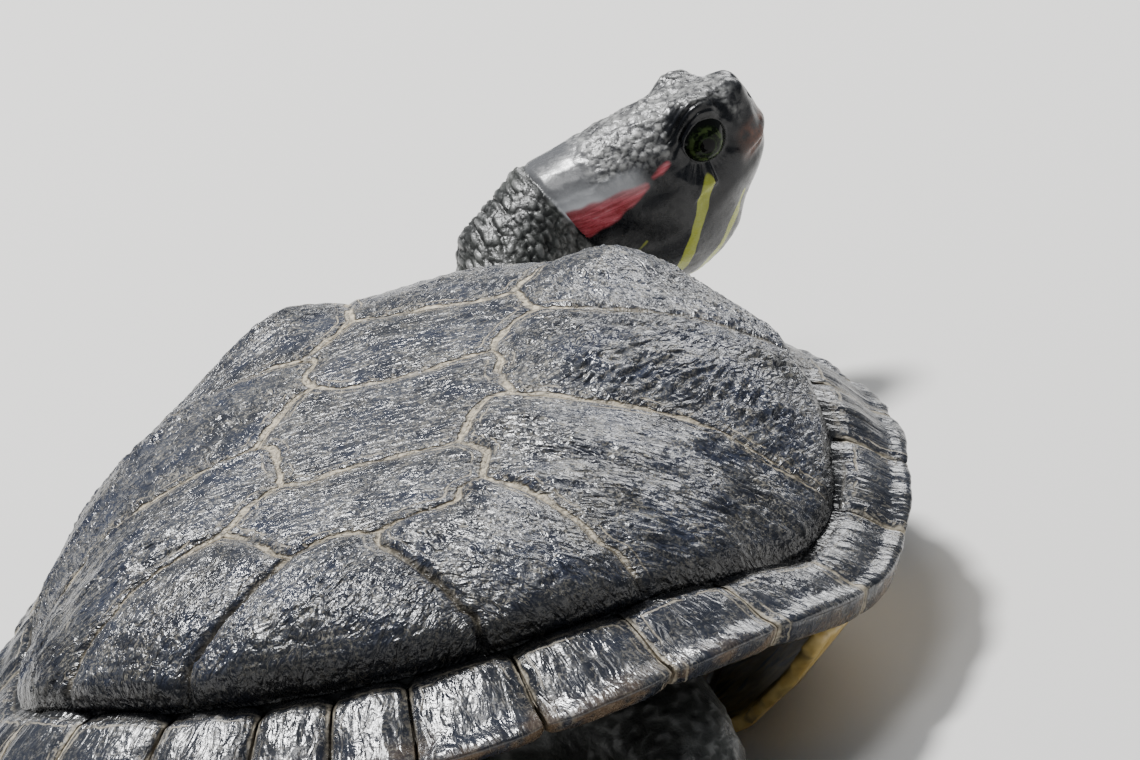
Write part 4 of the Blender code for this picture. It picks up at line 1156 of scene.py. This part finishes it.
eye = {
    "swell": 0.22, "pupil": (16.5, 14.5), "rim": (41.0, 46.0), "ring": (27.0, 31.0, 41.0, 35.0),
    "inner": (15.5, 17.5, 21.0, 18.5), "dark": (0.003, 0.005, 0.002), "fleck": (0.018, 0.031, 0.01),
    "ringTint": (0.08, 0.12, 0.035), "innerTint": (0.04, 0.065, 0.02), "rimTint": (0.005, 0.006, 0.005),
    "black": (0.001, 0.001, 0.001),
}


def makeEye(side):
    radius = head["eyeRadius"]
    obj = addSphere(96, 64, radius)
    p = pointsOf(obj)                 # in mm, the pole on the line of sight
    theta = np.degrees(np.arccos(np.clip(p[:, 2] / radius, -1, 1)))
    p = p * (1 + eye["swell"] * smoothStep(theta, 52, 30) / radius)[:, None]
    keep(obj, iris=theta)
    turnTo = Vector((side * head["look"][0], *head["look"][1:])).to_track_quat("Z", "Y").to_matrix()
    setPoints(obj, outOf(headPlace, p @ np.array(turnTo).T + np.array(head["eye"]) * (side, 1, 1)))
    bpy.ops.object.shade_smooth()
    return obj


def eyeFinish():
    t = Tree("eyeFinish", Roughness=0.05, IOR=1.22)
    theta, = t.values("iris")

    def ringOf(a, b, c, d):           # rises from a to b and falls from d to c
        return t.between(theta, a, b) * t.between(theta, c, d)

    speckled = ringOf(*eye["ring"]) * t.patches(0.44, 0.56, 700, 2)
    colour = t.coats(eye["dark"], (t.patches(0.45, 0.66, 1500, 3, 0.6, 0.8), eye["fleck"]),
                     (speckled * 0.5, eye["ringTint"]), (ringOf(*eye["inner"]) * 0.3, eye["innerTint"]),
                     (t.between(theta, *eye["pupil"]), eye["black"]),
                     (t.between(theta, *eye["rim"]), eye["rimTint"]))
    return t.feed(Base_Color=colour)


eyeLook = eyeFinish()
for sideName, side in sides:
    settle(makeEye(side), "eyeball_" + sideName, eyeLook, ["eye_" + sideName])
print("eyes made")


# claws: one is shaped for each kind of foot, the rest are copies

clawForm = {"root": 1.45 * mm, "tip": 0.12 * mm, "rows": 12, "flat": 0.78, "fuller": 0.5, "hook": 1.9 * mm,
            "fan": 48, "droop": -92}


def makeClaw(length):
    bpy.ops.object.select_all(action="DESELECT")
    bpy.ops.mesh.primitive_cone_add(vertices=20, radius1=clawForm["root"], radius2=clawForm["tip"],
                                    depth=length, location=(0, 0, length / 2))
    obj = bpy.context.object
    bpy.ops.object.transform_apply(location=True)
    bpy.ops.object.mode_set(mode="EDIT")
    rows = [length * step / clawForm["rows"] for step in range(1, clawForm["rows"])]
    for height in [0.1 * mm] + rows:
        bpy.ops.mesh.select_all(action="SELECT")
        bpy.ops.mesh.bisect(plane_co=(0, 0, height), plane_no=(0, 0, 1))
    bpy.ops.object.mode_set(mode="OBJECT")
    p = pointsOf(obj)
    t = p[:, 2] / length
    p[:, :2] *= (1 + clawForm["fuller"] * np.sin(np.clip(t, 0, 1) * math.pi))[:, None]
    p[:, 0] *= clawForm["flat"]
    p[:, 1] -= clawForm["hook"] * t ** 2.2         # hooked downwards
    setPoints(obj, p)
    return obj


def clawFinish():
    t = Tree("clawHorn")
    colour = t.mix(t.patches(0.35, 0.65, 500, 3), (0.025, 0.02, 0.014), (0.12, 0.085, 0.05))
    streaks = t.noise(900, 3, on=t.scaled(t.place, (6, 1, 1)))
    return t.feed(Base_Color=colour, Roughness=0.25 + t.noise(900, 2) * 0.2, bump=(streaks, 0.25, 0.3 * mm))


clawHorn = clawFinish()
for footName, spec in feet.items():
    pattern = makeClaw(spec["claw"] * mm)
    for sideName, side in sides:
        for toe, share in enumerate(toesOf(spec)):
            claw = pattern.copy()
            claw.data = pattern.data.copy()
            bpy.context.scene.collection.objects.link(claw)
            fan = Matrix.Rotation(math.radians(-share * clawForm["fan"]), 4, "Z")
            spot = Vector((share * spec["width"], spec["length"] * (0.90 - 0.5 * share * share), 2.6)) * mm
            spot += fan @ Vector((0, -1.0 * mm, 0))
            claw.data.transform(footPlace(spec, side) @ Matrix.Translation(spot) @ fan
                                @ Matrix.Rotation(math.radians(clawForm["droop"]), 4, "X"))
            p = pointsOf(claw)
            p[:, 2] = np.maximum(p[:, 2], 0.05 * mm)
            setPoints(claw, p)
            outward(claw)
            bpy.ops.object.shade_smooth()
            settle(claw, f"claw_{footName}_{sideName}_{toe + 1}", clawHorn)
    bpy.data.objects.remove(pattern)
print("claws made")


# studio: floor, light and camera

studio = {
    "floorSize": 6.0, "target": (0, -0.0105, 0.049), "across": (0.94537, 0.17791, -0.27317),
    "upward": (0.18520, 0.39650, 0.89916), "back": (0.26828, -0.90063, 0.34189), "slide": (0.0310, 0.0233),
    "distance": 2.54, "lens": 443, "skyTint": (0.8, 0.86, 0.95, 1), "skyStrength": 0.22,
    "lights": {"keyLight": ((-0.55, 0.7, 1.8), 0.4, 84), "backLight": ((0.25, 2.1, 0.9), 0.8, 15),
               "skyLight": ((0.1, -0.15, 2.1), 0.7, 12)},      # place, size, power
}

bpy.ops.object.select_all(action="DESELECT")
bpy.ops.mesh.primitive_plane_add(size=studio["floorSize"], location=(0, 0, 0))
floor = bpy.context.object
floor.name = "floor"
paleFloor = Tree("paleFloor", Roughness=0.75)
floor.data.materials.append(paleFloor.feed(
    Base_Color=paleFloor.mix(paleFloor.noise(3, 3), (0.62, 0.61, 0.59), (0.66, 0.65, 0.63))))

for name, (place, size, power) in studio["lights"].items():
    bpy.ops.object.light_add(type="AREA", location=place)
    light = bpy.context.object
    light.name = name
    light.data.shape = "DISK"
    light.data.size, light.data.energy = size, power
    light.rotation_mode = "QUATERNION"
    light.rotation_quaternion = (Vector(studio["target"]) - Vector(place)).to_track_quat("-Z", "Y")
world = bpy.data.worlds.new("studioWorld")
world.use_nodes = True
sky = world.node_tree.nodes["Background"].inputs
sky["Color"].default_value, sky["Strength"].default_value = studio["skyTint"], studio["skyStrength"]
bpy.context.scene.world = world

right, up, back = (Vector(studio[key]) for key in ("across", "upward", "back"))
spot = Vector(studio["target"]) + back * studio["distance"]
aim = Vector(studio["target"]) + right * studio["slide"][0] + up * studio["slide"][1]
back = (spot - aim).normalized()
right = up.cross(back).normalized()
up = back.cross(right)
camera = bpy.data.objects.new("camera", bpy.data.cameras.new("camera"))
bpy.context.scene.collection.objects.link(camera)
camera.matrix_world = Matrix.Translation(spot) @ Matrix((right, up, back)).transposed().to_4x4()
camera.data.sensor_width, camera.data.lens = 36, studio["lens"]
camera.data.clip_start, camera.data.clip_end = 0.05, 20
bpy.context.scene.camera = camera
